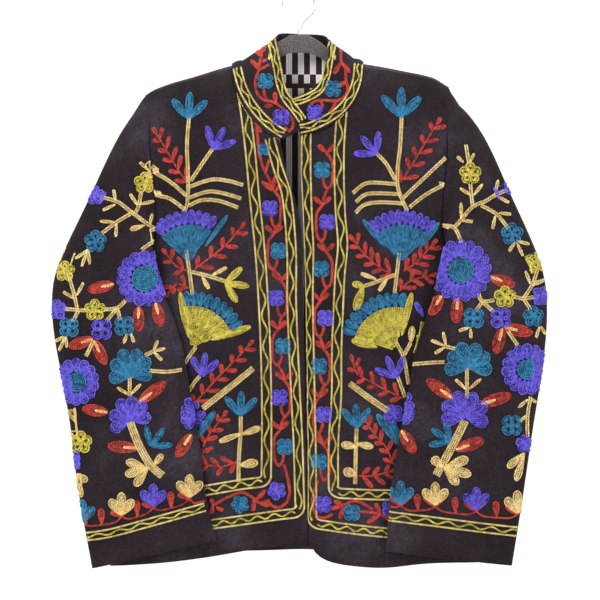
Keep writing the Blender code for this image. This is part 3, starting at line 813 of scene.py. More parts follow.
def sew(ground, colour, lines):
    rows = loops_of(ground, colour, lines)
    if not rows:
        return None
    middle, along, across, up = (np.array([row[part] for row in rows]) for part in range(4))
    shade = np.array([row[4] for row in rows])
    shape, shape_faces = far_loop if "back" in ground else near_loop
    corners = (middle[:, None] + along[:, None] * shape[None, :, 1:2] * STITCH_LENGTH
               + across[:, None] * shape[None, :, 0:1] * STITCH_WIDTH
               + up[:, None] * shape[None, :, 2:3] * STITCH_HEIGHT)
    count, size = len(rows), len(shape)
    faces = (shape_faces[None] + (np.arange(count) * size)[:, None, None]).reshape(-1, 4)
    name = f"{ground}_{colour}_wool"
    mesh = bpy.data.meshes.new(name)
    mesh.from_pydata(corners.reshape(-1, 3), [], faces)
    mesh.attributes.new("shade", "FLOAT", "POINT").data.foreach_set(
        "value", np.repeat(shade, size).astype(np.float32))
    # Each corner's height in the loop, which the wool material turns into painted shade towards the rim.
    lift = np.clip(shape[:, 2], 0.0, 1.0)
    mesh.attributes.new("lift", "FLOAT", "POINT").data.foreach_set(
        "value", np.tile(lift, count).astype(np.float32))
    mesh.shade_smooth()
    mesh.materials.append(yarn[colour])
    piece = bpy.data.objects.new(name, mesh)
    bpy.context.scene.collection.objects.link(piece)
    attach(piece, "root")
    return piece

# %% [markdown]
# The garden is built from a few plain forms. A broad stem is several rows side by
# side. A petal is one row out and back, with more rows inside it until it is full.
# A disc is one row that spirals inwards. The rows lie one yarn's width apart, so
# all forms fill up the same way.

# %% Rows, stems, petals and discs
ROW = 2.10               # from one row of loops to the next, in points of the picture
CLOSE_ROW = 1.20         # the same on a thin red vine
CURVE_STEP = 1.6
ROUNDNESS = 0.50         # 1 is a pointed leaf, less is a rounder one
PETAL_CORNERS = 24
LEAST_HALF = 0.1         # the narrowest row inside a petal, as a share of ROW
LEAST_GAP = -0.45        # the same for the straight row that fills its middle
HEART_RUN = 1.5          # half of the short row in a round petal's middle
DISC_HEART = 0.45        # how near its centre a disc's spiral ends


def smooth_run(points, step=CURVE_STEP):
    """A smooth curve through a few points, cut into short straight parts."""
    if len(points) < 3:
        return list(points)
    ends = [points[0]] + list(points) + [points[-1]]
    curve = []
    for before, first, last, after in zip(ends, ends[1:], ends[2:], ends[3:]):
        parts = max(1, round(math.dist(first, last) / step))
        for part in range(parts):
            t = part / parts
            curve.append(tuple(
                0.5 * (2 * b + (c - a) * t + (2 * a - 5 * b + 4 * c - d) * t * t
                       + (3 * b - a - 3 * c + d) * t ** 3)
                for a, b, c, d in zip(before, first, last, after)))
    curve.append(tuple(points[-1]))
    return curve


def beside(points, distance):
    """A run moved sideways from this one."""
    moved = []
    for index, (column, row) in enumerate(points):
        before = points[max(index - 1, 0)]
        after = points[min(index + 1, len(points) - 1)]
        length = math.dist(before, after) or 1.0
        moved.append((column - (after[1] - before[1]) / length * distance,
                      row + (after[0] - before[0]) / length * distance))
    return moved


def towards(place, angle, length):
    """A point at an angle, counted in degrees from straight up, clockwise."""
    turn = math.radians(angle)
    return (place[0] + math.sin(turn) * length, place[1] - math.cos(turn) * length)


def angle_of(start, end):
    return math.degrees(math.atan2(end[0] - start[0], start[1] - end[1]))


def stem(ground, colour, points, rows=2):
    curve = smooth_run(points)
    apart = CLOSE_ROW if colour == "red" else ROW
    for index in range(rows):
        line = beside(curve, (index - (rows - 1) / 2) * apart)
        chain(ground, colour, line if index % 2 == 0 else line[::-1])


def petal(ground, colour, base, tip, width, fullness=0.62):
    """A leaf or petal that is widest at the share of its length named fullness."""
    length = math.dist(base, tip)
    ahead = ((tip[0] - base[0]) / length, (tip[1] - base[1]) / length)
    bend = math.log(0.5) / math.log(fullness)
    inset = ROW / 2
    while width / 2 - inset > LEAST_HALF * ROW and length - 2 * inset > ROW:
        half = width / 2 - inset
        loop = []
        for index in range(PETAL_CORNERS + 1):
            turn = index / PETAL_CORNERS
            along = 1 - abs(2 * turn - 1)
            side = 1 if turn < 0.5 else -1
            swell = math.sin(math.pi * along ** bend) ** ROUNDNESS * half * side
            reach = inset * 0.6 + along * (length - inset * 1.6)
            loop.append((base[0] + ahead[0] * reach - ahead[1] * swell,
                         base[1] + ahead[1] * reach + ahead[0] * swell))
        chain(ground, colour, loop)
        inset += ROW
    if width / 2 - inset <= LEAST_GAP * ROW:
        return
    start, end = inset, length - inset
    if end - start <= ROW:
        start, end = fullness * length - HEART_RUN, fullness * length + HEART_RUN
    chain(ground, colour, [
        (base[0] + ahead[0] * start, base[1] + ahead[1] * start),
        (base[0] + ahead[0] * end, base[1] + ahead[1] * end)])


def disc(ground, colour, centre, radius, start_angle=0.0):
    """A round patch, filled by one row that winds inwards."""
    reach = max(radius - ROW / 2, 0.5)
    spiral, angle = [], start_angle
    while reach > DISC_HEART:
        spiral.append(towards(centre, angle, reach))
        turn = min(50.0, math.degrees(1.3 / reach))
        angle += turn
        reach -= ROW * turn / 360
    chain(ground, colour, spiral)


def ring(ground, colour, centre, radius):
    steps = max(8, int(2 * math.pi * radius / CURVE_STEP))
    chain(ground, colour, [towards(centre, 360 * k / steps, radius) for k in range(steps + 1)])

# %% [markdown]
# From those come the flowers: a tulip of three petals, a small blossom of four
# or five round lobes, a great rosette with a ring of petals round a disc, and a
# fan, which is a rosette seen from its side. Ferns carry paired leaves, and a
# red leaf often holds a straw-coloured heart.

# %% Flowers and leaves
FAN_STARTS = (0.08, 0.56, 0.32, 0.56, 0.16, 0.56, 0.32, 0.56)
FERN_LEAF_WIDTH = 5.2
FERN_LEAN = 46.0
BORDER_EDGE = 2.3        # from a border's outer row to the wave's crest


def tulip(ground, colour, base, angle, size, spread=48.0):
    """Three petals that fan out of one base; size is the middle one's length."""
    for lean in (-spread, 0.0, spread):
        reach = size * (0.96 if lean else 1.0)
        petal(ground, colour, base, towards(base, angle + lean, reach), size * 0.31, 0.62)
    heart = towards(base, angle, size * 0.22)
    disc(ground, colour, heart, size * 0.20, angle)


def blossom(ground, colour, centre, radius, lobes=4, angle=45.0):
    radius *= 1.15
    width = radius * (1.04 if lobes < 5 else 0.90)
    for index in range(lobes):
        tip = towards(centre, angle + 360 * index / lobes, radius)
        petal(ground, colour, centre, tip, width, 0.64)


def rosette(ground, centre, radius, rim="violet", heart="teal", petals=15, share=0.46):
    """A great round flower: petals round a filled disc."""
    inner = radius * share
    width = 2 * math.pi * radius * 1.02 / petals
    for index in range(petals):
        angle = 360 * index / petals
        petal(ground, rim, towards(centre, angle, inner * 0.86),
              towards(centre, angle, radius), width, 0.66)
    ring(ground, rim, centre, inner + ROW * 0.7)
    disc(ground, heart, centre, inner)


def fan(ground, apex, radius, start_angle, end_angle, wedge, rim, rim_depth, petals=9):
    """A flower seen from its side: a wedge of rows with round petals on its rim."""
    span = math.radians(abs(end_angle - start_angle))
    rows = max(4, round(span * radius / ROW))
    for index in range(rows + 1):
        angle = start_angle + (end_angle - start_angle) * index / rows
        start = FAN_STARTS[index % len(FAN_STARTS)]
        line = [towards(apex, angle, radius * start), towards(apex, angle, radius)]
        chain(ground, wedge, line if index % 2 else line[::-1])
    width = span * (radius + rim_depth * 0.7) * 1.12 / petals
    for index in range(petals):
        angle = start_angle + (end_angle - start_angle) * (index + 0.5) / petals
        petal(ground, rim, towards(apex, angle, radius - ROW * 0.4),
              towards(apex, angle, radius + rim_depth), width, 0.60)


def fern(ground, points, pairs, leaf):
    """A red stem with leaves to both sides, shorter towards its tip."""
    curve = smooth_run(points)
    stem(ground, "red", points, 1)
    last = len(curve) - 1
    for pair in range(pairs):
        share = (pair + 0.35) / pairs
        for side in (-1, 1):
            at = min(last, max(1, round(last * min(share + (0.03 if side > 0 else -0.02), 1.0))))
            heading = angle_of(curve[at - 1], curve[at])
            reach = leaf * (1.32 - 0.34 * share) * (0.9 + 0.1 * side)
            petal(ground, "red", curve[at], towards(curve[at], heading + side * FERN_LEAN, reach),
                  FERN_LEAF_WIDTH)
    heading = angle_of(curve[-2], curve[-1])
    petal(ground, "red", curve[-1], towards(curve[-1], heading, leaf * 0.75), FERN_LEAF_WIDTH)


def heart_leaf(ground, base, angle, length, width):
    """A red leaf round a straw heart."""
    tip = towards(base, angle, length)
    petal(ground, "red", base, tip, width, 0.52)
    petal(ground, "straw", towards(base, angle, length * 0.02),
          towards(base, angle, length * 0.52), width * 0.30, 0.5)


def edges(ground, points, width):
    """The two gold rows of a border."""
    for side in (-0.5, 0.5):
        chain(ground, "gold", beside(smooth_run(points), side * width))


def border(ground, points, width=9.0, wave=11.0):
    """Two gold rows with a wavy row between them."""
    edges(ground, points, width)
    wavy(ground, points, width, wave)


def wavy(ground, points, width, wave):
    """The wavy row of a border, with half a wave's length in points."""
    curve = smooth_run(points)
    gone = 0.0
    waves = [curve[0]]
    for before, after in zip(curve, curve[1:]):
        length = math.dist(before, after)
        parts = max(1, round(length / CURVE_STEP))
        for part in range(1, parts + 1):
            share = part / parts
            gone += length / parts
            point = tuple(b + (a - b) * share for b, a in zip(before, after))
            sway = math.sin(math.pi * gone / wave) * (width / 2 - BORDER_EDGE)
            waves.append((point[0] - (after[1] - before[1]) / length * sway,
                          point[1] + (after[0] - before[0]) / length * sway))
    chain(ground, "moss", waves)

# %% [markdown]
# Between two borders runs a red vine. It swings round one blossom after the
# other, always on the blossom's open side, and throws up a pair of leaves before
# each. A few numbers give the vine: where the middle of its band is at each
# blossom. The rest follows from the band.

# %% The vine
VINE_SWING = 8.2
BLOSSOM_SHIFT = 2.6
BLOSSOM_SIZE = 8.4
LEAF_SIZE = 12.5


def vine(ground, blossoms, side, colours=("teal", "violet")):
    """A vine down a band, with blossoms at these middles of the band."""
    for index, (column, row) in enumerate(blossoms):
        turn = side if index % 2 == 0 else -side
        fork = (column + turn * 2.0, row - 17.0)
        meet = (column + turn * 3.0, row + 19.0)
        blossom(ground, colours[index % 2], (column - turn * BLOSSOM_SHIFT, row), BLOSSOM_SIZE)
        stem(ground, "red", [fork, (column + turn * 7.4, row - 9.0),
                             (column + turn * VINE_SWING, row + 3.0),
                             (column + turn * 7.2, row + 14.0), meet])
        stem(ground, "red", [(column - turn * 1.5, row + 8.0), (column, row + 15.0), meet])
        if index + 1 < len(blossoms):
            after, down = blossoms[index + 1]
            stem(ground, "red", [meet, (after - turn * 0.5, (meet[1] + down - 17.0) / 2),
                                 (after - turn * 2.0, down - 17.0)])
        for lean in (-1, 1):
            petal(ground, "red", fork, towards(fork, lean * 46.0, LEAF_SIZE), 5.4, 0.66)

# %% [markdown]
# The two fronts mirror each other in layout but aren't alike in detail, so each
# has its own places. The borders come first: one down the front edge and along
# the hem, one that parts the vine's band from the garden.

# %% Borders of the fronts
RIGHT_OUTER = [(243, 92), (246, 110), (251, 150), (255.6, 200), (260.8, 250), (264.8, 312),
               (266.4, 350), (267.5, 397), (267.5, 440), (267.2, 470), (266.8, 477)]
RIGHT_OUTER_FOOT = [(263, 481), (256, 482), (240, 484), (205, 490), (190, 493)]
RIGHT_EDGE = [(270.5, 139), (274, 152), (278.5, 168), (284.5, 185), (288, 200), (291.0, 230),
              (292.6, 262), (292.4, 300), (294.3, 350), (296.5, 397), (298.6, 440),
              (300.4, 500), (300.2, 508)]
RIGHT_HEM = [(296, 512), (289, 513), (280, 514), (245, 519), (205, 524.5), (180, 529), (150, 532)]
LEFT_OUTER = [(342.5, 112), (340, 145), (339.7, 178), (341, 215), (343.2, 245), (340.5, 275),
              (338.8, 310), (337.2, 352), (337, 395), (334.2, 440), (334.0, 482), (334.8, 489)]
LEFT_OUTER_FOOT = [(339, 492), (346, 492.6), (355, 493), (392, 494), (420, 492)]
LEFT_EDGE = [(307, 134), (306.8, 165), (308, 215), (309.6, 250), (309.0, 300), (310.0, 352),
             (311.0, 400), (312.0, 450), (312.5, 490), (312.6, 512), (313.4, 519)]
LEFT_HEM = [(318, 523), (326, 524.4), (345, 527), (386, 531.5), (420, 534), (450, 534)]

for ground, outer, foot, edge, hem in (
        ("front_right", RIGHT_OUTER, RIGHT_OUTER_FOOT, RIGHT_EDGE, RIGHT_HEM),
        ("front_left", LEFT_OUTER, LEFT_OUTER_FOOT, LEFT_EDGE, LEFT_HEM)):
    for upright, level, width in ((outer, foot, 9.4), (edge, hem, 8.8)):
        edges(ground, upright + level, width)
        wavy(ground, upright, width, 15.5)
        wavy(ground, level, width, 8.5)

# %% [markdown]
# The vine's band runs between the two borders and turns along the hem, where the
# blossoms lie on their sides and the stems are placed one by one.

# %% The vine of each front
RIGHT_BLOSSOMS = [(273.5, 208.8), (276.6, 251), (279.6, 298), (281.2, 346), (283.0, 397), (283.0, 446)]
LEFT_BLOSSOMS = [(325.2, 170.6), (325.0, 222.5), (324.6, 269), (323.2, 318), (322.4, 366),
                 (322.0, 414), (322.0, 461)]
vine("front_right", RIGHT_BLOSSOMS, 1, ("violet", "teal"))
vine("front_left", LEFT_BLOSSOMS, 1)

for points in ([(257, 121), (258.5, 138), (260.5, 156), (266, 173)], [(266, 173), (270.5, 160)],
               [(266, 173), (271, 181), (273.5, 190)]):
    stem("front_right", "red", points)
petal("front_right", "red", (257, 120), (262, 134), 5.5, 0.7)
petal("front_right", "red", (273, 191), (262, 181.5), 5.2)
petal("front_right", "red", (273, 191), (277, 175), 5.2)
blossom("front_right", "teal", (264.5, 150), 6.4)

stem("front_right", "red", [(285, 464), (288, 476), (290.5, 490), (287.5, 501), (279, 506.5),
                            (270.5, 503), (269.5, 499)])
blossom("front_right", "violet", (277.5, 490), 8.8, 5)
blossom("front_right", "teal", (241, 503.5), 8.6, 5)
stem("front_right", "red", [(268, 500), (260, 502), (254, 497), (243, 491.5), (231, 495.5),
                            (222, 500), (213, 505)])
for base, tip in (((255, 498), (254, 511)), ((257, 499), (267, 488.5)), ((260, 502), (271, 505)),
                  ((216, 504), (211, 497.5)), ((217, 506), (225, 510)), ((214, 505), (212, 514))):
    petal("front_right", "red", base, tip, 5.2)

stem("front_left", "red", [(318.5, 480), (314.0, 493), (313.5, 506), (318, 515.5), (326, 517),
                           (333, 513)])
blossom("front_left", "violet", (324, 503.5), 8.6)
blossom("front_left", "teal", (352.5, 511.5), 8.4)
stem("front_left", "red", [(333, 508), (344, 504), (352, 500.5), (362, 501.5), (373, 508.5)])
stem("front_left", "red", [(359, 511), (370, 511), (381, 513)])
for base, tip in (((344, 504), (334, 499.5)), ((343, 505), (330, 508)), ((344, 505), (340.5, 518.5)),
                  ((381, 513), (375.5, 501)), ((381, 513), (366.5, 522)), ((381, 513), (392, 519))):
    petal("front_left", "red", base, tip, 5.2)
blossom("front_left", "violet", (390, 507), 8.0)

# %% [markdown]
# The garden on the wearer's right front grows on one line of stems: two tulips
# at the top, long straw-coloured bars to the sides, two fans under each other,
# then more tulips, with red ferns wherever there is room. Its places are points
# of the picture, read off for each flower's base and tip and along each stem.

# %% The garden of the right front
def garden(ground, stems, tulips, ferns, petals):
    """Sews simple parts from short tables: stems, tulips, ferns and single petals."""
    for colour, rows, points in stems:
        stem(ground, colour, points, rows)
    for colour, base, angle, size, spread in tulips:
        tulip(ground, colour, base, angle, size, spread)
    for pairs, leaf, points in ferns:
        fern(ground, points, pairs, leaf)
    for colour, width, base, tip in petals:
        petal(ground, colour, base, tip, width)


garden(
    "front_right",
    stems=[
        ("straw", 2, [(190, 118), (188, 146), (189.2, 177), (188.6, 202), (185.6, 212)]),
        ("straw", 2, [(213.5, 149.5), (202, 166), (192, 181)]),
        ("straw", 2, [(191, 187), (212.5, 180), (230, 181.5), (244, 185.5)]),
        ("straw", 2, [(191, 198), (208.8, 192), (225, 193.8), (242, 199)]),
        ("straw", 2, [(190, 206), (202.5, 200.5), (220, 201.2), (239, 208)]),
        ("straw", 2, [(146, 166), (152.5, 170.6), (171.3, 182), (187.5, 196)]),
        ("straw", 2, [(146, 191), (156.3, 195), (171.3, 199), (186, 210)]),
        ("straw", 2, [(187.5, 250), (190.6, 272), (193.6, 295)]),
        ("straw", 2, [(193, 272), (210, 276.2), (228, 282)]),
        ("straw", 2, [(197, 347), (189, 358), (183, 368)]),
        ("straw", 2, [(201, 376), (195, 383), (187, 396)]),
        ("straw", 3, [(204, 408), (228.6, 388.6), (254, 368)]),
        ("straw", 2, [(241.6, 416), (241.6, 433), (240, 454), (239.4, 481)]),
    ],
    tulips=[
        ("teal", (189.5, 119.5), 3, 28, 42), ("violet", (214, 150), 28, 26, 42),
        ("moss", (226, 283), 98, 25, 50), ("violet", (203.5, 376.5), 8, 25, 36),
        ("teal", (241.4, 415.5), 2, 26, 40),
    ],
    ferns=[
        (5, 13, [(189, 184), (179, 170), (168, 151), (158, 135)]),
        (4, 13, [(196, 269), (212.5, 256.5), (228, 244), (241, 229)]),
        (2, 12, [(188, 271), (177, 266), (168, 255)]),
        (2, 11, [(190, 288), (178, 284), (170, 292)]),
        (6, 12, [(193, 406), (207, 390.5), (221.4, 374.5), (238, 358), (249, 346)]),
        (4, 11, [(201, 456), (207, 440), (215, 428), (224, 416)]),
        (3, 12, [(238, 461), (222, 466), (203, 463)]),
    ],
    petals=[
        ("straw", 4.6, (212, 276), (229, 267)), ("straw", 5.2, (203, 276), (210.5, 290)),
        ("teal", 5.6, (206, 247), (229, 215)), ("moss", 8.0, (190, 338), (181, 291)),
        ("moss", 8.0, (212, 340), (253, 326)), ("straw", 6.6, (242, 433), (219, 441.5)),
        ("straw", 7.4, (242.5, 434), (262.5, 426.5)), ("straw", 9.6, (241, 464.5), (259.5, 461.5)),
        ("teal", 8.0, (196, 440), (216.5, 410)), ("violet", 9.0, (192, 417), (208, 413)),
        ("violet", 9.0, (192, 424), (206, 422)), ("violet", 9.0, (191, 408), (201, 403)),
    ])
fan("front_right", (191, 263), 38, -47, 33, "teal", "violet", 16, petals=9)
fan("front_right", (193, 348), 42, -10, 66, "moss", "teal", 15.5, petals=9)

# %% [markdown]
# The wearer's left front has the same parts in its own order: its gold tulip
# hangs, its lower fan leans the other way, and the fern at the hem grows out of
# the straw stem.

# %% The garden of the left front
garden(
    "front_left",
    stems=[
        ("straw", 2, [(402, 118), (400.6, 146), (397.8, 171), (398.8, 190), (407.5, 211)]),
        ("straw", 2, [(377, 154), (386.5, 164), (395.5, 180)]),
        ("straw", 2, [(397, 184.6), (375, 183), (364, 184.8), (353.5, 193.5)]),
        ("straw", 2, [(401, 194.6), (377.5, 193.6), (365, 195.2), (356.5, 202.5)]),
        ("straw", 2, [(404, 203.8), (382.5, 202.6), (365.5, 204.8), (356, 213)]),
        ("straw", 2, [(403.8, 198), (420, 182.5), (446, 158)]),
        ("straw", 2, [(410, 207.5), (426, 195), (446, 184)]),
        ("straw", 2, [(399.6, 253), (397.4, 272), (395, 293)]),
        ("straw", 2, [(395, 275), (381, 280.4), (365, 286)]),
        ("straw", 2, [(396, 342), (403.8, 357), (409, 384)]),
        ("straw", 2, [(405, 354), (411, 343)]),
        ("straw", 2, [(397.8, 376), (405.5, 397)]),
        ("straw", 3, [(350, 383), (370, 398), (388.5, 410.5)]),
        ("straw", 2, [(357, 428), (356.2, 452), (355.6, 483)]),
        ("moss", 2, [(423, 322), (420, 338), (415, 353)]),
    ],
    tulips=[
        ("teal", (401.5, 118), 1, 31, 42), ("violet", (377, 155), -41, 25, 46),
        ("violet", (396.5, 378), -24, 25, 42), ("teal", (357, 428), -1, 26, 34),
    ],
    ferns=[
        (5, 13, [(401, 183), (411, 167.5), (426, 142.5), (437, 125)]),
        (5, 13, [(393.8, 275), (380, 267.5), (365.5, 255), (355, 242)]),
        (4, 13, [(403.8, 271), (414, 264.5), (424, 255), (432, 246)]),
        (3, 12, [(400, 291), (411, 281), (430, 276)]),
        (5, 12, [(403, 398), (385, 389), (370.5, 381), (358, 374), (353.5, 362)]),
        (5, 11, [(394, 464), (386, 446), (376, 435), (367, 422)]),
        (3, 13, [(359, 475), (372.5, 475), (390, 471)]),
    ],
    petals=[
        ("straw", 5.0, (377, 279.5), (360, 273)), ("straw", 5.0, (387.5, 279), (378.5, 292)),
        ("teal", 6.4, (386, 248), (362.5, 219)), ("teal", 6.4, (420, 248), (440, 222)),
        ("moss", 9.0, (378, 347), (351, 339.5)), ("moss", 7.6, (402, 336), (412.5, 291.5)),
        ("straw", 7.6, (411, 343), (413, 325)), ("violet", 6.4, (424, 317), (415, 301)),
        ("moss", 9.6, (364, 286), (355, 311)), ("moss", 7.6, (366, 287), (352, 283)),
        ("straw", 8.6, (357, 446), (341, 443.5)), ("straw", 7.8, (357, 443), (374.5, 446.5)),
        ("straw", 10.4, (357, 474), (343.5, 469.5)), ("teal", 8.6, (399, 445), (376.5, 412.5)),
        ("teal", 8.0, (402, 447), (392, 420)),
    ])
fan("front_left", (402.5, 263), 38, -42, 42, "teal", "violet", 16, petals=10)
fan("front_left", (396, 350), 43, -72, 12, "moss", "teal", 15.5, petals=10)
blossom("front_left", "violet", (394, 414), 9.5, 5)
blossom("front_left", "moss", (420.5, 338.5), 4.4)

# %% [markdown]
# Each sleeve has two great rosettes, with twigs of small blossoms round them. A
# twig is a straw stem with short leaves. A palmette is a flower of round lobes
# that spread from one point. Both are given by their ends, so a table row is
# short and can be checked against the picture. The far side of a sleeve isn't in
# the picture. It repeats the near side, so that the cuff's border closes.

# %% Twigs and palmettes
def twigs(ground, stems, leaves, width=4.1):
    for points in stems:
        stem(ground, "straw", points, 2)
    for base, tip in leaves:
        petal(ground, "straw", base, tip, width)


def palmette(ground, colour, base, lobes, width):
    """Lobes that spread from one base; each is its angle and its length."""
    for angle, length in lobes:
        petal(ground, colour, base, towards(base, angle, length), width * 1.12, 0.72)


def heart_leaves(ground, leaves, width=12.5):
    for base, tip in leaves:
        heart_leaf(ground, base, angle_of(base, tip), math.dist(base, tip), width)


def blossoms(ground, rows):
    for colour, centre, radius, lobes in rows:
        blossom(ground, colour, centre, radius, lobes, 0.0 if lobes == 5 else 45.0)


def cuff_head(ground, colour, base, size=24.0):
    """A flower of three round lobes standing on the cuff's scroll."""
    for angle, share in ((-36, 0.86), (0, 1.0), (36, 0.86)):
        petal(ground, colour, base, towards(base, angle, size * share), size * 0.42, 0.70)


def cuff_scroll(ground, heads, tilt, ends):
    """A red line that dips between the heads, with a bud in each dip and two leaves a head."""
    base_rows = [(column, row + 5.0) for _, (column, row) in heads]
    for (left, left_row), (right, right_row) in zip(base_rows, base_rows[1:]):
        middle = ((left + right) / 2, (left_row + right_row) / 2 + 4.5)
        stem(ground, "red", [(left, left_row), (left + 7, left_row + 4 + tilt * 7), middle,
                             (right - 7, right_row + 4 - tilt * 7), (right, right_row)], 1)
        petal(ground, "red", middle, (middle[0] - 1, middle[1] - 17), 7.6, 0.7)
    for column, row in base_rows:
        petal(ground, "red", (column, row), (column - 12.5, row - 8 - tilt * 12), 5.4)
        petal(ground, "red", (column, row), (column + 9.5, row - 12 + tilt * 9), 5.4)
    for points in ends:
        stem(ground, "red", points, 1)
    for colour, place in heads:
        cuff_head(ground, colour, (place[0], place[1] + 4.0))

# %% The wearer's right sleeve
for ground in ("sleeve_right", "sleeve_right_back"):
    twigs(
        ground,
        stems=[
            [(143, 250), (160.5, 234.5), (148.6, 224.3), (131.4, 211.4), (118.6, 202), (101.5, 197)],
            [(135.7, 214.3), (140, 205.7), (142, 192.5)],
            [(131.4, 214.3), (117, 223), (103, 233.6)], [(65.7, 247), (59, 263)],
            [(69.3, 274), (75.7, 295.7), (78.6, 310)], [(63.6, 308.6), (80, 310), (90, 310.7)],
            [(80, 310.5), (73.6, 322)], [(105, 309.4), (118.6, 308), (127, 300.5)],
            [(118.6, 308), (108, 321)], [(118.6, 308), (122, 320)], [(87.5, 356), (95, 340)],
            [(151, 370.2), (168, 371.4), (183, 369.4)], [(131.3, 376), (131.3, 396)],
            [(146.5, 355), (156, 350.5)], [(66.5, 409), (69.2, 428), (75, 437)],
            [(150, 171.5), (158, 176)],
        ],
        leaves=[
            ((150, 225.7), (153, 212.5)), ((139, 206), (130.5, 193)), ((139, 205), (156, 201)),
            ((150, 171), (139.5, 161.5)), ((151.4, 170), (151, 160)), ((117, 201.4), (114.2, 188.5)),
            ((117, 204.3), (102.5, 211)), ((116.5, 222.5), (100, 221.2)), ((117.8, 223.5), (117, 238)),
            ((90, 249.3), (75.5, 259.5)), ((88.5, 250.5), (82.5, 267.5)), ((89.5, 250.5), (91, 265.5)),
            ((76, 299), (63.2, 291)), ((77.5, 296), (85.5, 281.5)), ((66.7, 336), (59.5, 352)),
            ((66, 336), (55, 342)), ((67, 336), (68.2, 348.5)), ((128.6, 333), (125, 344)),
            ((132.4, 333), (136, 343.5)), ((155, 350.5), (159.5, 339.5)), ((155, 351), (167.5, 348)),
            ((155, 351.5), (164.5, 361)), ((130.5, 394.5), (118, 386.5)), ((132.4, 394), (143, 383)),
            ((66.5, 408), (78, 422.5)),
        ])
    palmette(ground, "straw", (146.5, 225.5), [(-106, 16.5)], 5.6)
    palmette(ground, "straw", (75, 473), [(117, 17), (160, 26)], 7.4)
    palmette(ground, "teal", (132, 376.5),
             [(-92, 22), (-50, 25.5), (-18, 29.5), (16, 29.5), (46, 27.5), (82, 22.5)], 13.0)
    palmette(ground, "violet", (131.7, 420),
             [(-116, 22), (-72, 22.5), (-28, 25), (6, 25), (40, 25), (80, 22)], 12.0)
    palmette(ground, "straw", (150, 467.5), [(-105, 25), (-142, 23), (-72, 24)], 8.6)
    palmette(ground, "violet", (196, 414), [(-120, 16), (-90, 15), (-60, 16), (-28, 19),
                                                  (-150, 17)], 8.8)
    stem(ground, "straw", [(131.7, 421), (136, 433), (142, 447), (152.5, 464.5), (164, 474.5)], 4)
    petal(ground, "straw", (154, 466), (165, 452.5), 7.4, 0.7)
    tulip(ground, "teal", (152.5, 445.5), 36, 23, 50)
    heart_leaves(ground, [
        ((116, 283.8), (88.0, 290.5)), ((140, 306), (139.8, 332)), ((156.5, 302), (163, 327)),
        ((95, 338.5), (69, 347)), ((95, 339.5), (107.5, 365)), ((139.5, 402.5), (168, 381)),
        ((110, 412), (82.5, 408)), ((140, 447.5), (108.5, 445)), ((193, 433), (177.5, 456.5))], 12.4)
    blossoms(ground, [
        ("moss", (145.7, 183), 10.0, 5), ("violet", (96.4, 195.7), 9.0, 5), ("teal", (96.7, 241.7), 10.6, 5),
        ("moss", (66, 271.4), 9.6, 5), ("violet", (57.9, 309.3), 9.4, 5), ("moss", (96.4, 310), 10.2, 5),
        ("teal", (70.3, 327.4), 10.0, 4), ("violet", (103.3, 329.3), 10.6, 4),
        ("teal", (125.7, 325.7), 10.0, 4), ("moss", (82.5, 442), 10.6, 5),
        ("violet", (73.3, 460), 8.6, 5)])
    rosette(ground, (145.7, 278.6), 28.6, petals=15, share=0.50)
    rosette(ground, (77.5, 381.7), 24.4, petals=14, share=0.46)
    cuff_scroll(ground, [("teal", (84, 518)), ("straw", (123.3, 510.5)), ("violet", (155, 501.7)),
                                 ("straw", (190.8, 492.5))], -0.26,
                [[(190.8, 497.5), (196, 502), (206, 499.5)]])
    border(ground, [(83, 536.5), (112, 531.8), (156.7, 519.6), (206, 505.8)], width=7.6)

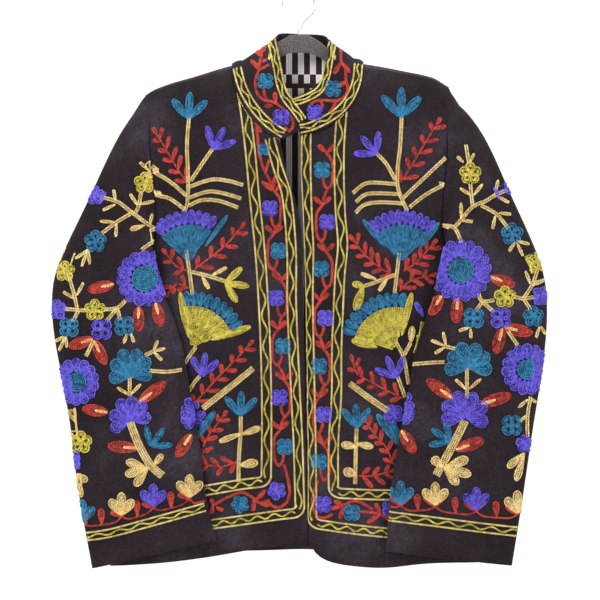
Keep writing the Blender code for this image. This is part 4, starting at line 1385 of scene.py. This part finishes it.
# %% The wearer's left sleeve
for ground in ("sleeve_left", "sleeve_left_back"):
    twigs(
        ground,
        stems=[
            [(461.4, 243), (454.3, 228), (437.9, 225)],
            [(454.3, 228), (461.4, 220), (472.9, 207), (485.7, 201.4), (495, 195.7), (508, 190)],
            [(472.9, 206), (471.5, 195), (470.7, 184)], [(469.3, 163), (466.4, 145)],
            [(481.4, 205.7), (497, 214.3), (508.6, 228.6)], [(538.6, 267), (532.9, 284.3), (523.5, 298.6)],
            [(514, 296.4), (524, 298.6), (540, 295.7)], [(524, 299), (530.7, 309.3)],
            [(494.3, 300), (482, 301.4), (478.6, 293)], [(482, 302), (475.7, 310.7)],
            [(482.5, 302), (494, 312)], [(508, 331), (517.5, 345)],
            [(444.5, 361.8), (430, 362.4), (413, 364)],
            [(466.8, 368), (466.8, 398)], [(455, 348.5), (444, 345.8)],
            [(530.8, 396.5), (527.5, 417), (527.5, 437)],
        ],
        leaves=[
            ((461.4, 219.5), (461.3, 202)), ((461.4, 220.8), (474.5, 222)), ((472, 196), (459.5, 188)),
            ((473.5, 196), (483.5, 183.5)), ((464.5, 163), (456.6, 155.8)), ((470, 163), (475, 152.8)),
            ((495, 195.2), (499, 179)), ((497, 196.4), (511, 203.3)), ((498.6, 213), (513, 214.5)),
            ((495.7, 215.7), (492.6, 230.5)), ((516.4, 241), (531, 244.5)), ((516.8, 242), (524, 257.3)),
            ((515.7, 241.6), (508.5, 252.8)), ((530.8, 284.5), (525.5, 270)), ((532, 285.8), (547, 279)),
            ((470, 327), (457.5, 331)), ((470.5, 328), (471, 339.5)), ((540, 326), (536, 339)),
            ((541, 326), (546.5, 335)), ((444.5, 345.5), (430, 339.5)), ((446, 345.5), (443, 331)),
            ((445, 347), (433.5, 353.8)), ((465.8, 389), (454.5, 378)), ((468.3, 389), (481.5, 378)),
            ((528.3, 399), (517.5, 408)), ((531, 398), (537, 403)), ((526.8, 415), (519, 422)),
        ])
    palmette(ground, "straw", (524.5, 452), [(-131, 24), (-163, 31)], 7.6)
    palmette(ground, "teal", (467.8, 368),
             [(-92, 24), (-52, 25.5), (-17, 27.5), (22, 27.5), (56, 26.5), (92, 25)], 13.4)
    palmette(ground, "violet", (465, 417),
             [(-96, 25), (-58, 27.5), (-19, 28.5), (20, 27.5), (58, 26.5), (103, 24)], 13.2)
    palmette(ground, "straw", (443.5, 466.5), [(70, 27), (105, 29), (140, 23), (-50, 16)], 9.4)
    palmette(ground, "violet", (400, 411), [(118, 16), (92, 16), (62, 17), (30, 22), (146, 16)], 8.8)
    stem(ground, "straw", [(465, 420), (459, 432), (450, 449), (436, 474)], 4)
    tulip(ground, "teal", (450.5, 441), -56, 24, 42)
    heart_leaves(ground, [
        ((489.5, 276.5), (516, 286)), ((442, 295), (430, 315.5)), ((458, 297), (455.6, 324)),
        ((503, 327), (534, 333.5)), ((502.5, 327.5), (495.5, 354.5)), ((454, 399), (426, 378.5)),
        ((479.5, 404), (512.5, 394.5)), ((454.5, 449), (485, 438.8)), ((401.5, 429), (415, 453))], 12.8)
    blossoms(ground, [
        ("moss", (470.7, 173.6), 10.4, 5), ("teal", (512.4, 234.3), 10.6, 5),
        ("moss", (539.3, 261.4), 9.6, 5), ("violet", (509.5, 188), 6.0, 4),
        ("violet", (544.3, 295.7), 8.8, 5), ("teal", (533.6, 316.4), 10.0, 5),
        ("moss", (505, 297), 10.4, 5), ("teal", (473.6, 317.9), 10.4, 4), ("violet", (500.7, 317.9), 10.6, 4),
        ("teal", (511.7, 425), 10.4, 4), ("violet", (524.2, 443.3), 8.6, 5)])
    rosette(ground, (460.7, 270.7), 32.0, petals=17, share=0.44)
    rosette(ground, (527.0, 369.2), 26.6, petals=15, share=0.44)
    cuff_scroll(ground, [("teal", (400.8, 499)), ("straw", (435, 500)), ("violet", (475.8, 505)),
                                ("straw", (517, 509))], 0.12,
                [[(400.8, 504), (395, 506), (388, 504)]])
    border(ground, [(387.5, 514.5), (430, 519.6), (480, 526.2), (517.5, 531)], width=8.6)

# %% [markdown]
# The stand collar is one long strip. A border runs along its seam, another along
# its top edge, and a vine with four blossoms fills the rest. The right end laps
# over the left, so both ends' borders meet in the notch below the chin.

# %% The collar
RIGHT_SEAM = [(238, 68), (242, 84), (247.5, 96.5), (257, 111), (270.5, 125), (284.5, 134.5)]
RIGHT_TOP = [(272, 38), (275, 53), (278, 68.5), (281.5, 86), (287, 99.5), (296, 111), (303, 121)]
LEFT_SEAM = [(359, 64), (357.3, 80), (353, 93), (346.5, 104), (336.5, 113.8), (324, 121.5),
             (311, 127.2), (301, 129.5)]
LEFT_TOP = [(333.5, 42), (330, 60), (327, 76), (321.5, 89), (312, 96.5), (296, 103)]

for points, width in ((RIGHT_SEAM, 7.6), (RIGHT_TOP, 7.0), (LEFT_SEAM, 7.6), (LEFT_TOP, 6.4)):
    border("collar", points, width=width, wave=9.0)

for points in ([(263, 43), (262, 56), (259.5, 69)], [(270, 65), (259.5, 70.5)],
               [(259.5, 70), (256.5, 80), (257.5, 92), (263.5, 100), (273, 102.5), (277, 104.5)],
               [(264.5, 89), (265.5, 96), (268.5, 101.5)], [(277, 104), (284, 110), (291.5, 118),
                                                         (293.8, 126), (290.5, 132), (286, 128)],
               [(341.5, 49), (342, 62), (346, 69), (346.5, 80), (348.5, 90), (345, 97),
                (337, 101.5), (325, 101), (316, 102), (309.5, 107)],
               [(337, 101.5), (333, 110)], [(321, 101.5), (323.5, 107), (320, 112)],
               [(347, 82), (341, 84)], [(334.5, 90.5), (340, 86)]):
    stem("collar", "red", points)
for base, tip in (((259.5, 70), (251.5, 59)), ((262, 57), (256.5, 49)), ((262.5, 53), (266.5, 44)),
                  ((276.5, 104), (275.5, 92)), ((274, 106.5), (264.5, 107)),
                  ((341.5, 63), (334, 75)), ((342.5, 62), (351, 74)), ((334, 109), (329.5, 115)),
                  ((347, 83), (339, 87))):
    petal("collar", "red", base, tip, 5.2)
blossoms("collar", [("teal", (266.2, 82), 8.2, 4), ("violet", (282, 118.5), 8.6, 4),
                    ("teal", (333.5, 89.5), 8.6, 4), ("violet", (315.5, 113.5), 8.2, 4)])

# %% [markdown]
# The picture doesn't show the back, so all its embroidery is a guess. It repeats
# the same forms in a plain order: one tall stem in the middle with a rosette, two
# fans and a tulip, mirrored sprays to both sides, and the hem's borders and vine.
# The collar's borders simply go on round.

# %% The back
MIDDLE = 300.0
HEM_COLUMNS = range(120, 481, 36)
HEM_SLOPE = 0.075        # the hem drops this much for each point away from the middle


def both_sides(points):
    """The same run on the left and on the right of the middle."""
    return [points, [(2 * MIDDLE - column, row) for column, row in points]]


for line in both_sides([(MIDDLE, 520), (350, 523), (400, 528), (445, 533), (487, 538)]):
    border("back", line, width=9.4, wave=8.5)
for line in both_sides([(MIDDLE, 484), (350, 486), (400, 490), (440, 494), (484, 500)]):
    border("back", line, width=8.4, wave=8.5)
for index, column in enumerate(HEM_COLUMNS):
    drop = abs(column - MIDDLE) * HEM_SLOPE
    colour = ("teal", "violet")[index % 2]
    blossom("back", colour, (column, 502 + drop), 8.2)
    if index + 1 < len(HEM_COLUMNS):
        ahead = abs(HEM_COLUMNS[index + 1] - MIDDLE) * HEM_SLOPE
        stem("back", "red", [(column + 10, 504 + drop), (column + 17, 510 + (drop + ahead) / 2),
                             (column + 26, 503 + ahead)])
        for lean in (-1, 1):
            petal("back", "red", (column + 18, 510 + drop),
                  (column + 18 + lean * 7, 498 + drop), 5.0)

stem("back", "straw", [(MIDDLE, 474), (302, 430), (298, 390), (MIDDLE, 350)], 3)
stem("back", "straw", [(MIDDLE, 300), (299, 262), (MIDDLE, 226)], 3)
stem("back", "straw", [(MIDDLE, 180), (301, 160), (MIDDLE, 142)], 2)
rosette("back", (MIDDLE, 322), 32, petals=17, share=0.48)
fan("back", (MIDDLE, 232), 40, -46, 46, "teal", "violet", 16, petals=10)
fan("back", (MIDDLE, 424), 36, -52, 52, "moss", "teal", 15, petals=10)
tulip("back", "teal", (MIDDLE, 143), 0, 28, 44)
for side in (-1, 1):
    def across(*places):
        return [(MIDDLE + side * column, row) for column, row in places]
    for row in (262, 274, 286):
        stem("back", "straw", across((2, row + 8), (24, row), (44, row + 1), (58, row + 7)), 2)
    stem("back", "straw", across((2, 462), (24, 444), (44, 420), (58, 392)), 2)
    stem("back", "straw", across((60, 474), (66, 452), (70, 430)), 2)
    stem("back", "straw", across((2, 214), (30, 190), (48, 164)), 2)
    stem("back", "straw", across((92, 470), (98, 400), (94, 330)), 2)
    stem("back", "straw", across((96, 262), (90, 220), (96, 180)), 2)
    rosette("back", *across((96, 296)), 27, petals=15, share=0.48)
    tulip("back", "violet", *across((50, 162)), side * 28, 25, 44)
    tulip("back", "moss", *across((58, 391)), side * 24, 25, 44)
    tulip("back", "teal", *across((70, 429)), side * 8, 24, 42)
    tulip("back", "teal", *across((96, 180)), side * 6, 27, 44)
    fern("back", across((20, 148), (40, 132), (64, 118), (82, 112)), 5, 12)
    fern("back", across((22, 348), (40, 356), (62, 352), (78, 340)), 4, 12)
    fern("back", across((24, 468), (36, 456), (44, 440)), 3, 11)
    fern("back", across((96, 250), (112, 236), (122, 214), (126, 190)), 5, 12)
    fern("back", across((100, 460), (116, 446), (126, 424)), 4, 11)
    fern("back", across((88, 228), (74, 214), (66, 196)), 3, 11)
    for row, lean in ((452, 60), (430, -60), (396, 62), (366, -58)):
        heading = side * lean
        heart_leaf("back", across((97, row))[0], heading, 27, 11.5)
    blossom("back", "violet", *across((24, 380)), 8.4, 5)
    blossom("back", "moss", *across((72, 372)), 7.4, 5)
    blossom("back", "teal", *across((60, 240)), 8.2, 5)

# %% The back of the collar
border("collar_back", [(244, 66), (262, 74), (280, 78), (300, 79), (320, 78), (338, 74), (354, 66)],
       width=7.4, wave=9.0)
border("collar_back", [(264, 41), (282, 39.5), (300, 39), (318, 39.5), (334, 41)], width=6.6, wave=9.0)
for column in (268, 300, 332):
    blossom("collar_back", "teal" if column == MIDDLE else "violet", (column, 58), 8.0)
for left, right in ((276, 292), (308, 324)):
    stem("collar_back", "red", [(left, 60), ((left + right) / 2, 64), (right, 60)])
    for lean in (-1, 1):
        middle = ((left + right) / 2, 63)
        petal("collar_back", "red", middle, towards(middle, lean * 30, 12), 5.0)

# %% [markdown]
# Only now is the noted pattern sewn, one object for each colour on each piece.

# %% Sew everything
wool = {}
for (ground, colour), lines in sorted(runs.items()):
    piece = sew(ground, colour, lines)
    if piece is not None:
        wool.setdefault(GROUNDS[ground][0], []).append(piece)
        print(piece.name, len(piece.data.polygons) * 2, "triangles")
total = sum(len(piece.data.polygons) * 2 for pieces in wool.values() for piece in pieces)
print("all the wool:", total, "triangles")

# %% [markdown]
# The size that each cloth piece was cut to is listed as a sheet. A sleeve's width
# is all the way round, with its seam. Most pieces aren't rectangles, so each also
# states its flat area. The sheet's size is printed beside half the surface of the
# smooth cloth.

# %% The cut of each piece
CUTS = {
    "back": ((0.60, 0.66), 0.300),
    "front_right": ((0.30, 0.66), 0.150),
    "front_left": ((0.30, 0.66), 0.150),
    "sleeve_right": ((0.44, 0.62), 0.190),
    "sleeve_left": ((0.44, 0.62), 0.190),
    "collar": ((0.42, 0.06), 0.022),
    "back_lining": ((0.58, 0.65), 0.290),
}


def surface_of(piece):
    return sum(face.area for face in piece.data.polygons)


for node, (flat, area) in CUTS.items():
    print("cut of", node, flat, "half surface", round(surface_of(cloth[node]) / 2, 4))

# %% Finish
bpy.context.view_layer.update()
